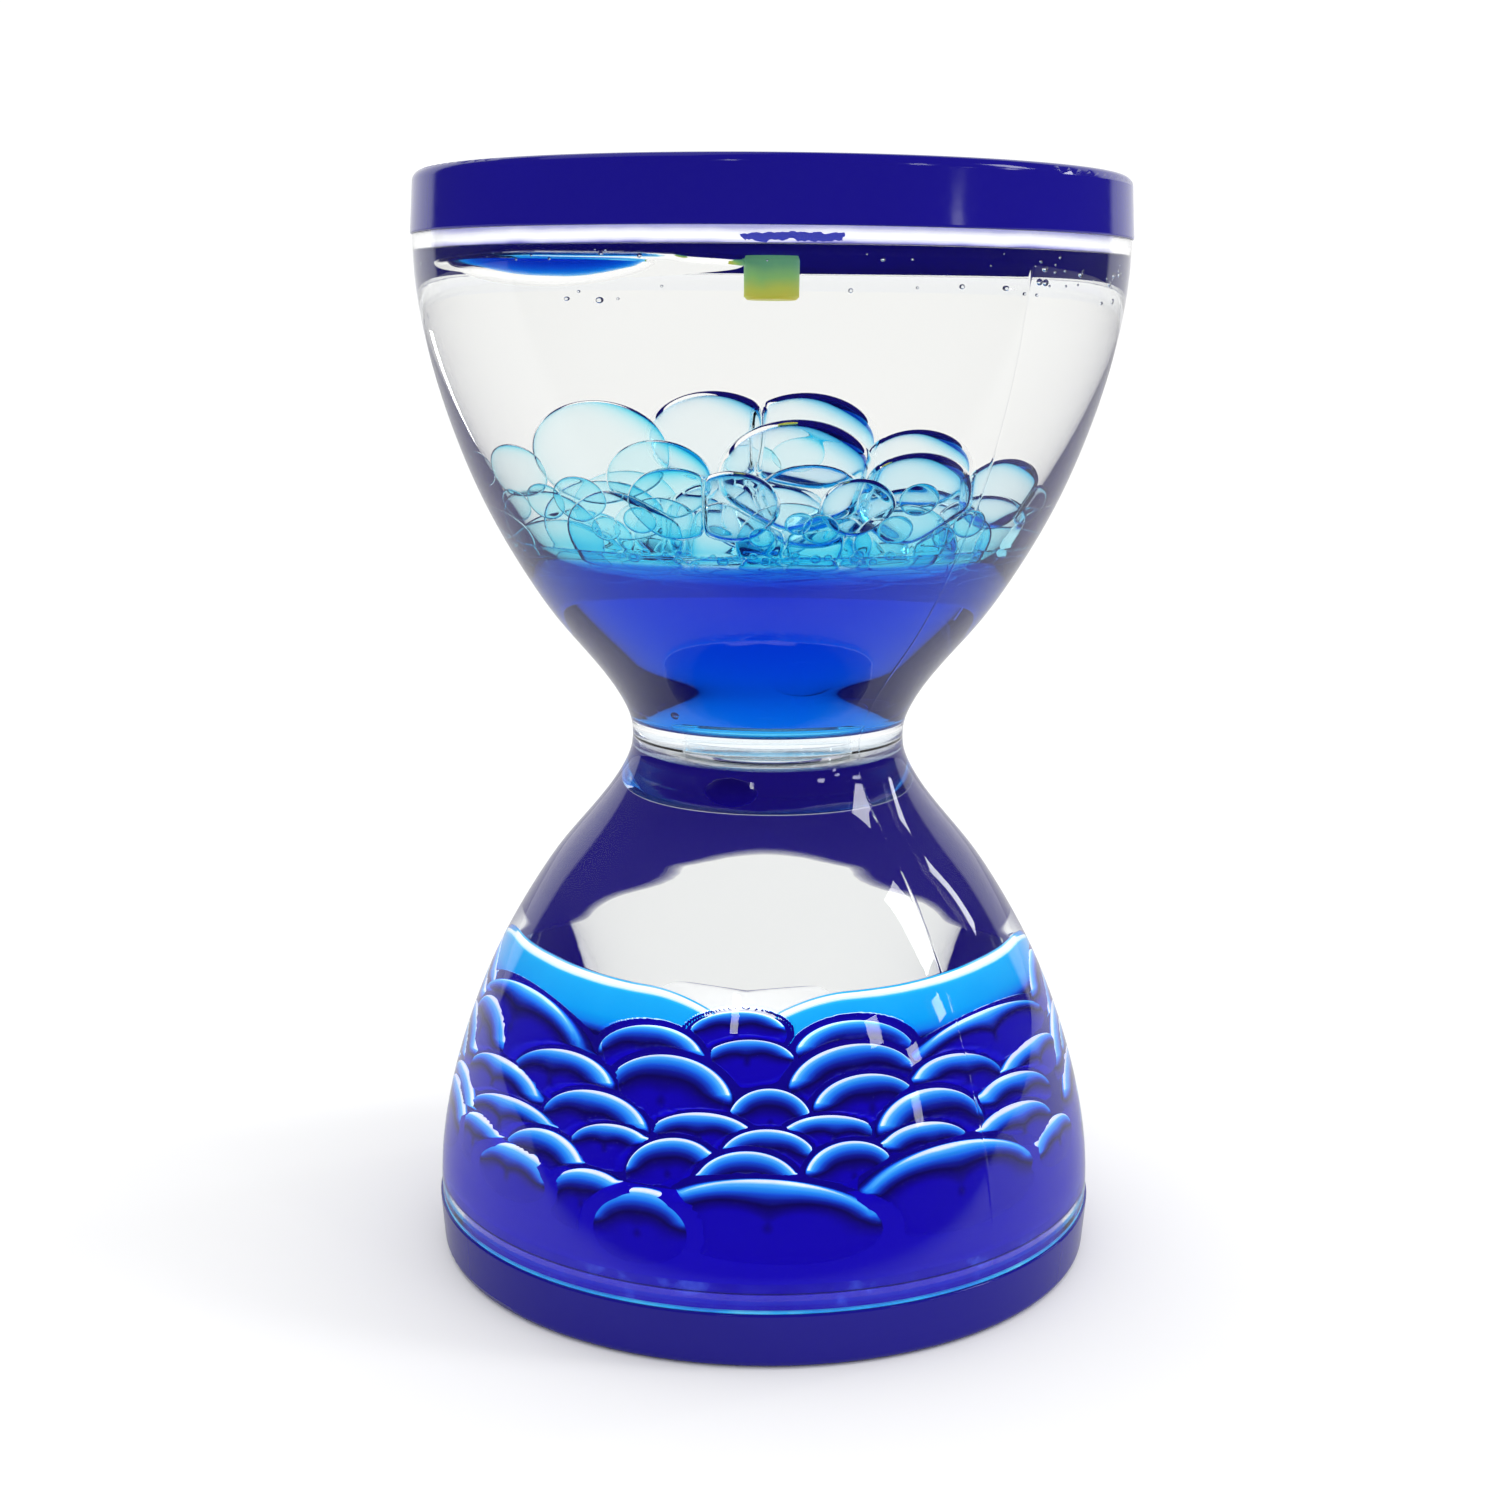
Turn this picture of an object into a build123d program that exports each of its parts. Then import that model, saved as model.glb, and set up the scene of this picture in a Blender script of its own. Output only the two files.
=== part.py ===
from build123d import *
import os

os.makedirs("parts", exist_ok=True)

# Liquid motion timer: a clear hourglass of two bells joined at the neck, closed at each
# end by a blue plate under a blue cap.  Clear oil and heavier blue liquid trade places
# through two spouts in the neck.  Origin at the centre of the base, +Z up the axis.

# ---------------------------------------------------------------- driving dimensions (mm)
HEIGHT = 133.0            # over both caps
MID = HEIGHT / 2          # plane of the neck
CAP_H = 7.0               # height of a cap
CAP_R_JOINT = 42.6        # cap radius at the joint with the bell
CAP_R_END = 42.1          # cap radius at its end face (mould draft)
CAP_BORE = 41.35          # radius inside the cap's skirt
CAP_PLATE = 1.8           # thickness of the cap's end wall
CAP_EDGE = 1.2            # rounding of the cap's outer edge
RECESS_R = 37.0           # shallow dish in the end face, inside the standing rim
RECESS_DEPTH = 0.6
RIB_COUNT = 6             # stiffening ribs under the cap's end wall
RIB_T = 1.2

JOINT_Z = HEIGHT - CAP_H  # cap joint, 126
SPIGOT_R = 41.25          # bell's spigot inside the cap
SPIGOT_TOP = 129.5
SEAT_R = 40.2             # seat for the end plate, at the spigot's mouth
SEAT_Z = 124.3
BORE_R = 39.6             # bell's bore under the seat
WALL = 2.2                # bell wall
WEB = 2.1                 # web of one bell, closing its neck
BOND_T = 0.3              # adhesive film between the two webs
WEB_BORE = 7.0            # hole in both webs for the orifice insert

PLATE_R = 39.9
PLATE_T = 2.5
PLUG_HOLE = 2.2

INSERT_R = 6.95
FLANGE_R = 9.0
FLANGE_T = 1.5
SPOUT_X = 3.2             # the two spouts stand either side of the axis
SPOUT_R = 1.5
SPOUT_TIP_R = 1.0
SPOUT_BORE = 0.6
RISER_REACH = 7.25        # riser's tip above the web's face
DRIP_REACH = 4.0          # drip spout's tip below the web's face

BLUE_TOP = 91.0           # blue liquid's level in the upper bell
OIL_TOP = 124.2           # clear oil's top in the upper bell, under the end plate
BUBBLE_Z = 122.6          # underside of the flat air bubble against the end plate
BUBBLE_R = 14.5
BUBBLE_X, BUBBLE_Y = -17.0, -15.0
BED_LOW = 18.0            # bed of drops in the lower bell
BED_TOP = 41.0
GAP = 0.15                # between the liquids and what holds them

RISE_R = 3.2              # rising drop
FALL_R = 2.5              # falling drop
DROP_CLEAR = 0.4          # room around a travelling drop

# outside of the upper bell: height over the neck plane, radius
BELL = [
    (0.15, 17.0), (1.7, 17.17), (3.7, 17.9), (7.4, 20.2), (11.15, 23.25), (14.9, 26.4), (18.6, 29.0),
    (22.3, 31.3), (29.7, 35.2), (37.2, 38.2), (44.6, 40.45), (50.0, 41.6), (54.5, 42.18), (57.5, 42.33), (59.45, 42.35),
]

WEB_LOW = MID + BOND_T / 2          # underside of the upper web
WEB_TOP = WEB_LOW + WEB             # floor of the upper bell
FLANGE_TOP = WEB_TOP + FLANGE_T

# ---------------------------------------------------------------- the bell's inner wall
bell_line = Edge.make_spline([Vector(r, 0, MID + dz) for dz, r in BELL])


def inner_table(inset):
    """(z, r) along the bell, moved inwards from the outside by inset."""
    rows = []
    for i in range(241):
        p = bell_line.position_at(i / 240)
        t = bell_line.tangent_at(i / 240)
        rows.append((p.Z + inset * t.X, p.X - inset * t.Z))
    return rows


def radius_at(rows, z):
    for (z0, r0), (z1, r1) in zip(rows, rows[1:]):
        if z0 <= z <= z1:
            return r0 + (r1 - r0) * (z - z0) / (z1 - z0)
    return rows[-1][1] if z > rows[-1][0] else rows[0][1]


WALL_ROWS = inner_table(WALL)
LIQUID_ROWS = inner_table(WALL + GAP)
BORE_FROM = 121.0                   # the bore is straight above this height
CURVE_TO = 112.0                    # and follows the outside below this one


def liquid_radius(z):
    """Radius of the liquid's side in the upper bell at height z."""
    if z >= BORE_FROM:
        return BORE_R - GAP
    if z > CURVE_TO:
        r0 = radius_at(LIQUID_ROWS, CURVE_TO)
        s = (z - CURVE_TO) / (BORE_FROM - CURVE_TO)
        return r0 + (BORE_R - GAP - r0) * (1 - (1 - s) ** 2)
    return radius_at(LIQUID_ROWS, z)


def liquid_side(z0, z1, count):
    """Points (r, z) of the liquid's side between two heights in the upper bell."""
    return [(liquid_radius(z0 + (z1 - z0) * i / (count - 1)), z0 + (z1 - z0) * i / (count - 1)) for i in range(count)]


def turned(points):
    """The same points in the lower bell."""
    return [(r, HEIGHT - z) for r, z in points]


# the liquids are turned from a half-plane of their own, so their seams stand clear of the bells'
LIQUID_PLANE = Plane(origin=(0, 0, 0), x_dir=(0.9, 0.43589, 0), z_dir=(0.43589, -0.9, 0))

# ---------------------------------------------------------------- clear bells
with BuildPart() as upper_bulb:
    with BuildSketch(Plane.XZ):
        with BuildLine():
            Spline(*[(r, MID + dz) for dz, r in BELL])
            Polyline(
                (BELL[-1][1], MID + BELL[-1][0]),
                (SPIGOT_R, MID + BELL[-1][0]),
                (SPIGOT_R, SPIGOT_TOP),
                (SEAT_R, SPIGOT_TOP),
                (SEAT_R, SEAT_Z),
                (BORE_R, SEAT_Z),
                (BORE_R, BORE_FROM),
            )
            inner_z = [WEB_TOP, 70.0, 71.5, 73.0, 75.0, 77.5, 81.0, 86.0, 92.0, 99.0, 106.0, CURVE_TO]
            Spline(*([(radius_at(WALL_ROWS, z), z) for z in inner_z] + [(BORE_R - 0.28, 116.5), (BORE_R - 0.04, 119.3), (BORE_R, BORE_FROM)])[::-1])
            Polyline(
                (radius_at(WALL_ROWS, WEB_TOP), WEB_TOP),
                (WEB_BORE, WEB_TOP),
                (WEB_BORE, WEB_LOW),
                (BELL[0][1], WEB_LOW),
            )
        make_face()
    revolve(axis=Axis.Z)
    # round the inside corner between wall and web, and break the spigot's lead-in edge
    floor_ring = upper_bulb.edges().filter_by(GeomType.CIRCLE).filter_by(lambda e: abs(e.center().Z - WEB_TOP) < 1e-3 and e.radius > 10)
    fillet(floor_ring, radius=1.0)
    lead_in = upper_bulb.edges().filter_by(GeomType.CIRCLE).filter_by(lambda e: abs(e.center().Z - SPIGOT_TOP) < 1e-3 and e.radius > 40.8)
    chamfer(lead_in, length=0.4)
upper_bulb.part.label = "upper_bulb"
export_step(upper_bulb.part, "parts/upper_bulb.step")

with BuildPart() as lower_bulb:
    with Locations((0, 0, HEIGHT)):
        add(upper_bulb.part, rotation=(180, 0, 0))
lower_bulb.part.label = "lower_bulb"
export_step(lower_bulb.part, "parts/lower_bulb.step")

# adhesive film between the two webs
with BuildPart() as neck_bond:
    with BuildSketch(Plane.XY.offset(MID - BOND_T / 2)):
        Circle(BELL[0][1] - 0.2)
        Circle(WEB_BORE + 0.2, mode=Mode.SUBTRACT)
    extrude(amount=BOND_T)
neck_bond.part.label = "neck_bond"
export_step(neck_bond.part, "parts/neck_bond.step")

# ---------------------------------------------------------------- flow insert and spouts
with BuildPart() as orifice_insert:
    with BuildSketch(Plane.XY.offset(HEIGHT - WEB_TOP)):
        Circle(INSERT_R)
    extrude(amount=2 * WEB_TOP - HEIGHT)
    with BuildSketch(Plane.XY.offset(WEB_TOP)):
        Circle(FLANGE_R)
    extrude(amount=FLANGE_T)
    with BuildSketch(Plane.XY.offset(HEIGHT - WEB_TOP)):
        with Locations((SPOUT_X, 0), (-SPOUT_X, 0)):
            Circle(SPOUT_R + 0.03)
    extrude(amount=2 * WEB_TOP - HEIGHT + FLANGE_T, mode=Mode.SUBTRACT)
    chamfer(orifice_insert.faces().sort_by(Axis.Z)[-1].outer_wire().edges(), length=0.4)
    chamfer(orifice_insert.faces().sort_by(Axis.Z)[0].outer_wire().edges(), length=0.4)
orifice_insert.part.label = "orifice_insert"
export_step(orifice_insert.part, "parts/orifice_insert.step")

# riser spout: through the insert, with a collar on the flange and a tapered tip
RISER_TIP = WEB_TOP + RISER_REACH
with BuildPart() as riser_nozzle:
    with BuildSketch(Plane(origin=(SPOUT_X, 0, 0), x_dir=(1, 0, 0), z_dir=(0, -1, 0))):
        with BuildLine():
            Polyline(
                (SPOUT_BORE, HEIGHT - WEB_TOP),
                (SPOUT_R, HEIGHT - WEB_TOP),
                (SPOUT_R, FLANGE_TOP + 0.02),
                (2.2, FLANGE_TOP + 0.02),
                (2.2, FLANGE_TOP + 0.9),
                (SPOUT_R, FLANGE_TOP + 1.5),
                (SPOUT_TIP_R, RISER_TIP),
                (SPOUT_BORE, RISER_TIP),
                close=True,
            )
        make_face()
    revolve(axis=Axis((SPOUT_X, 0, 0), (0, 0, 1)))
riser_nozzle.part.label = "riser_nozzle"
export_step(riser_nozzle.part, "parts/riser_nozzle.step")

# drip spout: the same idea, pointing down into the lower bell
DRIP_TIP = HEIGHT - WEB_TOP - DRIP_REACH
with BuildPart() as drip_nozzle:
    with BuildSketch(Plane(origin=(-SPOUT_X, 0, 0), x_dir=(1, 0, 0), z_dir=(0, -1, 0))):
        with BuildLine():
            Polyline(
                (SPOUT_BORE, FLANGE_TOP),
                (SPOUT_R, FLANGE_TOP),
                (SPOUT_R, HEIGHT - WEB_TOP - 0.02),
                (2.2, HEIGHT - WEB_TOP - 0.02),
                (2.2, HEIGHT - WEB_TOP - 0.9),
                (SPOUT_R, HEIGHT - WEB_TOP - 1.5),
                (SPOUT_TIP_R, DRIP_TIP),
                (SPOUT_BORE, DRIP_TIP),
                close=True,
            )
        make_face()
    revolve(axis=Axis((-SPOUT_X, 0, 0), (0, 0, 1)))
drip_nozzle.part.label = "drip_nozzle"
export_step(drip_nozzle.part, "parts/drip_nozzle.step")

# ---------------------------------------------------------------- end plates, bonds, plug
with BuildPart() as top_end_plate:
    with BuildSketch(Plane.XY.offset(SEAT_Z)):
        Circle(PLATE_R)
        Circle(PLUG_HOLE, mode=Mode.SUBTRACT)
    extrude(amount=PLATE_T)
    chamfer(top_end_plate.faces().sort_by(Axis.Z)[-1].outer_wire().edges(), length=0.3)
top_end_plate.part.label = "top_end_plate"
export_step(top_end_plate.part, "parts/top_end_plate.step")

with BuildPart() as base_end_plate:
    with BuildSketch(Plane.XY.offset(HEIGHT - SEAT_Z - PLATE_T)):
        Circle(PLATE_R)
    extrude(amount=PLATE_T)
    chamfer(base_end_plate.faces().sort_by(Axis.Z)[0].outer_wire().edges(), length=0.3)
base_end_plate.part.label = "base_end_plate"
export_step(base_end_plate.part, "parts/base_end_plate.step")

# adhesive around the top plate's edge, with the bead squeezed out under it
with BuildPart() as top_bond_ring:
    with BuildSketch(Plane.XY.offset(SEAT_Z + 0.05)):
        Circle(SEAT_R - 0.02)
        Circle(PLATE_R + 0.02, mode=Mode.SUBTRACT)
    extrude(amount=PLATE_T - 0.4)
    with BuildSketch(Plane.XZ):
        with BuildLine():
            Line((BORE_R - 0.02, SEAT_Z - 0.02), (BORE_R - 0.02, SEAT_Z - 1.1))
            RadiusArc((BORE_R - 0.02, SEAT_Z - 1.1), (BORE_R - 1.1, SEAT_Z - 0.02), -1.2)
            Line((BORE_R - 1.1, SEAT_Z - 0.02), (BORE_R - 0.02, SEAT_Z - 0.02))
        make_face()
    revolve(axis=Axis.Z)
top_bond_ring.part.label = "top_bond_ring"
export_step(top_bond_ring.part, "parts/top_bond_ring.step")

with BuildPart() as base_bond_ring:
    with Locations((0, 0, HEIGHT)):
        add(top_bond_ring.part, rotation=(180, 0, 0))
base_bond_ring.part.label = "base_bond_ring"
export_step(base_bond_ring.part, "parts/base_bond_ring.step")

# soft plug in the filling hole: head over the plate, waist in the hole, body hanging below
PLUG_R = 2.27
PLUG_TIP = 120.7
PLUG_HEAD = SEAT_Z + PLATE_T
with BuildPart() as fill_plug:
    with BuildSketch(Plane.XZ):
        with BuildLine():
            Polyline(
                (0, PLUG_TIP),
                (PLUG_R - 0.25, PLUG_TIP),
                (PLUG_R, PLUG_TIP + 0.25),
                (PLUG_R, SEAT_Z - 0.35),
                (PLUG_HOLE - 0.05, SEAT_Z - 0.02),
                (PLUG_HOLE - 0.05, PLUG_HEAD + 0.02),
                (3.4, PLUG_HEAD + 0.02),
                (3.4, PLUG_HEAD + 0.7),
                (3.0, PLUG_HEAD + 1.1),
                (0, PLUG_HEAD + 1.1),
                close=True,
            )
        make_face()
    revolve(axis=Axis.Z)
fill_plug.part.label = "fill_plug"
export_step(fill_plug.part, "parts/fill_plug.step")

# ---------------------------------------------------------------- blue end caps
with BuildPart() as top_cap:
    with BuildSketch(Plane.XZ):
        with BuildLine():
            Polyline(
                (0, HEIGHT - RECESS_DEPTH),
                (RECESS_R, HEIGHT - RECESS_DEPTH),
                (RECESS_R + 0.6, HEIGHT),
                (CAP_R_END, HEIGHT),
                (CAP_R_JOINT, JOINT_Z),
                (CAP_BORE, JOINT_Z),
                (CAP_BORE, HEIGHT - CAP_PLATE),
                (0, HEIGHT - CAP_PLATE),
                close=True,
            )
        make_face()
    revolve(axis=Axis.Z)
    with BuildSketch(Plane.XY.offset(SPIGOT_TOP + 0.1)):
        with PolarLocations(24.0, RIB_COUNT):
            Rectangle(28.0, RIB_T)
    extrude(amount=HEIGHT - CAP_PLATE - SPIGOT_TOP)
    rim = top_cap.edges().filter_by(GeomType.CIRCLE).filter_by(lambda e: abs(e.center().Z - HEIGHT) < 1e-3 and e.radius > 41)
    fillet(rim, radius=CAP_EDGE)
    skirt = top_cap.edges().filter_by(GeomType.CIRCLE).filter_by(lambda e: abs(e.center().Z - JOINT_Z) < 1e-3 and e.radius > 42)
    fillet(skirt, radius=0.25)
top_cap.part.label = "top_cap"
export_step(top_cap.part, "parts/top_cap.step")

with BuildPart() as base_cap:
    with Locations((0, 0, HEIGHT)):
        add(top_cap.part, rotation=(180, 0, 0))
base_cap.part.label = "base_cap"
export_step(base_cap.part, "parts/base_cap.step")

# ---------------------------------------------------------------- liquids in the upper bell
FLOOR = WEB_TOP + GAP
with BuildPart() as upper_blue_liquid:
    side = liquid_side(FLOOR + 1.2, BLUE_TOP, 13)
    with BuildSketch(LIQUID_PLANE):
        with BuildLine():
            Polyline((0, BLUE_TOP), (0, FLOOR), (side[0][0] - 1.3, FLOOR), side[0])
            Spline(*side)
            Line(side[-1], (0, BLUE_TOP))
        make_face()
    revolve(axis=Axis.Z)
    # clear of the insert's flange, and of the rising drop's path over the riser spout
    with BuildSketch(Plane.XY.offset(FLOOR)):
        Circle(FLANGE_R + GAP)
    extrude(amount=FLANGE_TOP - WEB_TOP, mode=Mode.SUBTRACT)
    with BuildSketch(Plane.XY.offset(FLOOR)):
        with Locations((SPOUT_X, 0)):
            Circle(RISE_R + DROP_CLEAR)
    extrude(amount=BLUE_TOP - FLOOR, mode=Mode.SUBTRACT)
upper_blue_liquid.part.label = "upper_blue_liquid"
export_step(upper_blue_liquid.part, "parts/upper_blue_liquid.step")

# mound of drops resting on the blue liquid, highest at the axis
FOAM_RIM = 98.5
FOAM_CROWN = [(0, 112.4), (11.0, 110.6), (20.0, 106.4), (28.0, 101.6)]
with BuildPart() as oil_drop_foam:
    side = liquid_side(BLUE_TOP + GAP, FOAM_RIM, 4)
    with BuildSketch(LIQUID_PLANE):
        with BuildLine():
            Polyline(FOAM_CROWN[0], (0, BLUE_TOP + GAP), side[0])
            Spline(*side)
            Spline(side[-1], *FOAM_CROWN[::-1], tangents=[(-1, 0.35), (-1, 0)])
        make_face()
    revolve(axis=Axis.Z)
oil_drop_foam.part.label = "oil_drop_foam"
export_step(oil_drop_foam.part, "parts/oil_drop_foam.step")

# flat lens of blue liquid that hangs from the air bubble's underside, off the axis
LENS_X, LENS_Y = -21.0, -15.0
LENS_R, LENS_DEEP = 8.8, 2.2
with BuildPart() as surface_blue_lens:
    with BuildSketch(Plane(origin=(LENS_X, LENS_Y, 0), x_dir=(1, 0, 0), z_dir=(0, -1, 0))):
        with BuildLine():
            Polyline((0, BUBBLE_Z - LENS_DEEP), (0, BUBBLE_Z), (LENS_R, BUBBLE_Z))
            Spline(
                (LENS_R, BUBBLE_Z), (LENS_R * 0.72, BUBBLE_Z - LENS_DEEP * 0.66), (0, BUBBLE_Z - LENS_DEEP),
                tangents=[(0, -1), (-1, 0)],
            )
        make_face()
    revolve(axis=Axis((LENS_X, LENS_Y, 0), (0, 0, 1)))
surface_blue_lens.part.label = "surface_blue_lens"
export_step(surface_blue_lens.part, "parts/surface_blue_lens.step")

with BuildPart() as upper_clear_oil:
    side = liquid_side(FOAM_RIM + GAP, SEAT_Z - 1.3, 9)
    with BuildSketch(LIQUID_PLANE):
        with BuildLine():
            Line((0, OIL_TOP), (0, FOAM_CROWN[0][1] + GAP))
            Spline(*[(r, z + GAP) for r, z in FOAM_CROWN], side[0], tangents=[(1, 0), (1, -0.35)])
            Spline(*side)
            Polyline(side[-1], (BORE_R - 1.4, OIL_TOP), (0, OIL_TOP))
        make_face()
    revolve(axis=Axis.Z)
    with BuildSketch(Plane.XY.offset(PLUG_TIP - GAP)):
        Circle(PLUG_R + GAP)
    extrude(amount=OIL_TOP - PLUG_TIP + GAP, mode=Mode.SUBTRACT)
    # the air bubble, rounded at its lower edge
    with BuildSketch(Plane(origin=(BUBBLE_X, BUBBLE_Y, 0), x_dir=(1, 0, 0), z_dir=(0, -1, 0))):
        with BuildLine():
            Polyline((0, BUBBLE_Z), (0, OIL_TOP), (BUBBLE_R - 0.5, OIL_TOP))
            Spline(
                (BUBBLE_R - 0.5, OIL_TOP), (BUBBLE_R, (OIL_TOP + BUBBLE_Z) / 2), (BUBBLE_R - 1.3, BUBBLE_Z),
                tangents=[(0.6, -1), (-1, 0)],
            )
            Line((BUBBLE_R - 1.3, BUBBLE_Z), (0, BUBBLE_Z))
        make_face()
    revolve(axis=Axis((BUBBLE_X, BUBBLE_Y, 0), (0, 0, 1)), mode=Mode.SUBTRACT)
    with BuildSketch(Plane(origin=(LENS_X, LENS_Y, 0), x_dir=(1, 0, 0), z_dir=(0, -1, 0))):
        with BuildLine():
            Polyline((0, BUBBLE_Z - LENS_DEEP - GAP), (0, BUBBLE_Z + GAP), (LENS_R + GAP, BUBBLE_Z + GAP), (LENS_R + GAP, BUBBLE_Z))
            Spline(
                (LENS_R + GAP, BUBBLE_Z), (LENS_R * 0.72 + GAP, BUBBLE_Z - LENS_DEEP * 0.66 - GAP), (0, BUBBLE_Z - LENS_DEEP - GAP),
                tangents=[(0, -1), (-1, 0)],
            )
        make_face()
    revolve(axis=Axis((LENS_X, LENS_Y, 0), (0, 0, 1)), mode=Mode.SUBTRACT)
upper_clear_oil.part.label = "upper_clear_oil"
export_step(upper_clear_oil.part, "parts/upper_clear_oil.step")

# ---------------------------------------------------------------- liquids in the lower bell
with BuildPart() as lower_blue_pool:
    side = turned(liquid_side(HEIGHT - BED_LOW, SEAT_Z - 1.3, 6))[::-1]
    with BuildSketch(LIQUID_PLANE):
        with BuildLine():
            Polyline((0, BED_LOW), (0, HEIGHT - SEAT_Z + 0.1), (BORE_R - 1.4, HEIGHT - SEAT_Z + 0.1), side[0])
            Spline(*side)
            Line(side[-1], (0, BED_LOW))
        make_face()
    revolve(axis=Axis.Z)
lower_blue_pool.part.label = "lower_blue_pool"
export_step(lower_blue_pool.part, "parts/lower_blue_pool.step")

with BuildPart() as lower_drop_bed:
    side = turned(liquid_side(HEIGHT - BED_TOP, HEIGHT - BED_LOW - GAP, 8))[::-1]
    with BuildSketch(LIQUID_PLANE):
        with BuildLine():
            Polyline((0, BED_TOP), (0, BED_LOW + GAP), side[0])
            Spline(*side)
            Line(side[-1], (0, BED_TOP))
        make_face()
    revolve(axis=Axis.Z)
lower_drop_bed.part.label = "lower_drop_bed"
export_step(lower_drop_bed.part, "parts/lower_drop_bed.step")

ROOF = HEIGHT - WEB_TOP - GAP
with BuildPart() as lower_clear_oil:
    side = turned(liquid_side(WEB_TOP + GAP + 1.2, HEIGHT - BED_TOP - GAP, 14))[::-1]
    with BuildSketch(LIQUID_PLANE):
        with BuildLine():
            Polyline((0, ROOF), (0, BED_TOP + GAP), side[0])
            Spline(*side)
            Polyline(side[-1], (side[-1][0] - 1.3, ROOF), (0, ROOF))
        make_face()
    revolve(axis=Axis.Z)
    # clear of the falling drop's path under the drip spout
    with BuildSketch(Plane.XY.offset(BED_TOP + GAP)):
        with Locations((-SPOUT_X, 0)):
            Circle(FALL_R + DROP_CLEAR)
    extrude(amount=ROOF - BED_TOP, mode=Mode.SUBTRACT)
lower_clear_oil.part.label = "lower_clear_oil"
export_step(lower_clear_oil.part, "parts/lower_clear_oil.step")

# ---------------------------------------------------------------- drops under way
FALL_Z = DRIP_TIP - 0.35 - FALL_R - 0.5  # centre of the falling drop, hanging under its spout
with BuildPart() as falling_blue_drop:
    with BuildSketch(Plane(origin=(-SPOUT_X, 0, 0), x_dir=(1, 0, 0), z_dir=(0, -1, 0))):
        with BuildLine():
            Spline(
                (0, FALL_Z - FALL_R), (FALL_R * 0.95, FALL_Z - 0.45), (1.35, FALL_Z + 1.8), (0, FALL_Z + FALL_R + 0.5),
                tangents=[(1, 0), (-1, 0.45)],
            )
            Line((0, FALL_Z + FALL_R + 0.5), (0, FALL_Z - FALL_R))
        make_face()
    revolve(axis=Axis((-SPOUT_X, 0, 0), (0, 0, 1)))
falling_blue_drop.part.label = "falling_blue_drop"
export_step(falling_blue_drop.part, "parts/falling_blue_drop.step")

RISE_Z = RISER_TIP + 0.35 + 2.9         # centre of the rising drop, standing on its spout
with BuildPart() as rising_oil_drop:
    with BuildSketch(Plane(origin=(SPOUT_X, 0, 0), x_dir=(1, 0, 0), z_dir=(0, -1, 0))):
        with BuildLine():
            Spline(
                (0, RISE_Z - 2.9), (RISE_R, RISE_Z), (0, RISE_Z + 2.9),
                tangents=[(1, 0), (-1, 0)],
            )
            Line((0, RISE_Z + 2.9), (0, RISE_Z - 2.9))
        make_face()
    revolve(axis=Axis((SPOUT_X, 0, 0), (0, 0, 1)))
rising_oil_drop.part.label = "rising_oil_drop"
export_step(rising_oil_drop.part, "parts/rising_oil_drop.step")

print("riser tip", RISER_TIP, "drip tip", DRIP_TIP, "fall centre", FALL_Z, "rise centre", RISE_Z)
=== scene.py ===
import bpy, bmesh, math
import numpy as np
from mathutils import Matrix, Vector


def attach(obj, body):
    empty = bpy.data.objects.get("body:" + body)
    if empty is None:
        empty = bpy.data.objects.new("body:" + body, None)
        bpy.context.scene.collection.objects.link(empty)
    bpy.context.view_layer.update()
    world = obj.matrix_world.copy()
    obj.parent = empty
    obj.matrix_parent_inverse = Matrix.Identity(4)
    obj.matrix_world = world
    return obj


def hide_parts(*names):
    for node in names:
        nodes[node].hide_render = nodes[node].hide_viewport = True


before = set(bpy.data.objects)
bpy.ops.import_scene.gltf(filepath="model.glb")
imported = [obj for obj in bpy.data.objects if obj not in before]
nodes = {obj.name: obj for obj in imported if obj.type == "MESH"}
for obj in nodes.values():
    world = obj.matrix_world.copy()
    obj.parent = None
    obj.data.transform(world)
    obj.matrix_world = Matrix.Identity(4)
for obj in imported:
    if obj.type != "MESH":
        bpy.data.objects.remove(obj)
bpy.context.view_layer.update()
scene = bpy.context.scene
MM = 0.001
rng = np.random.default_rng(7)

# ------------------------------------------------------------------ heights and radii, mm
HEIGHT, MID = 133.0, 66.5
WEB_TOP, WEB_LOW = 68.75, 66.65
FLANGE_TOP = 70.25
BLUE_TOP = 91.0
BED_TOP = 41.0
OVER = 0.06               # liquids reach this far into the wall, so no air film shows

BELL = [
    (0.15, 17.0), (1.7, 17.17), (3.7, 17.9), (7.4, 20.2), (11.15, 23.25), (14.9, 26.4), (18.6, 29.0),
    (22.3, 31.3), (29.7, 35.2), (37.2, 38.2), (44.6, 40.45), (50.0, 41.6), (54.5, 42.18), (57.5, 42.33), (59.45, 42.35),
]
BORE = [
    (2.25, 15.0), (3.5, 15.43), (7.5, 17.57), (11.5, 20.66), (15.5, 24.04), (23.5, 29.47), (33.5, 34.45),
    (41.5, 37.29), (45.5, 38.41), (48.5, 39.08), (50.5, 39.38), (53.5, 39.59), (55.5, 39.6), (60.5, 39.6),
]


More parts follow.
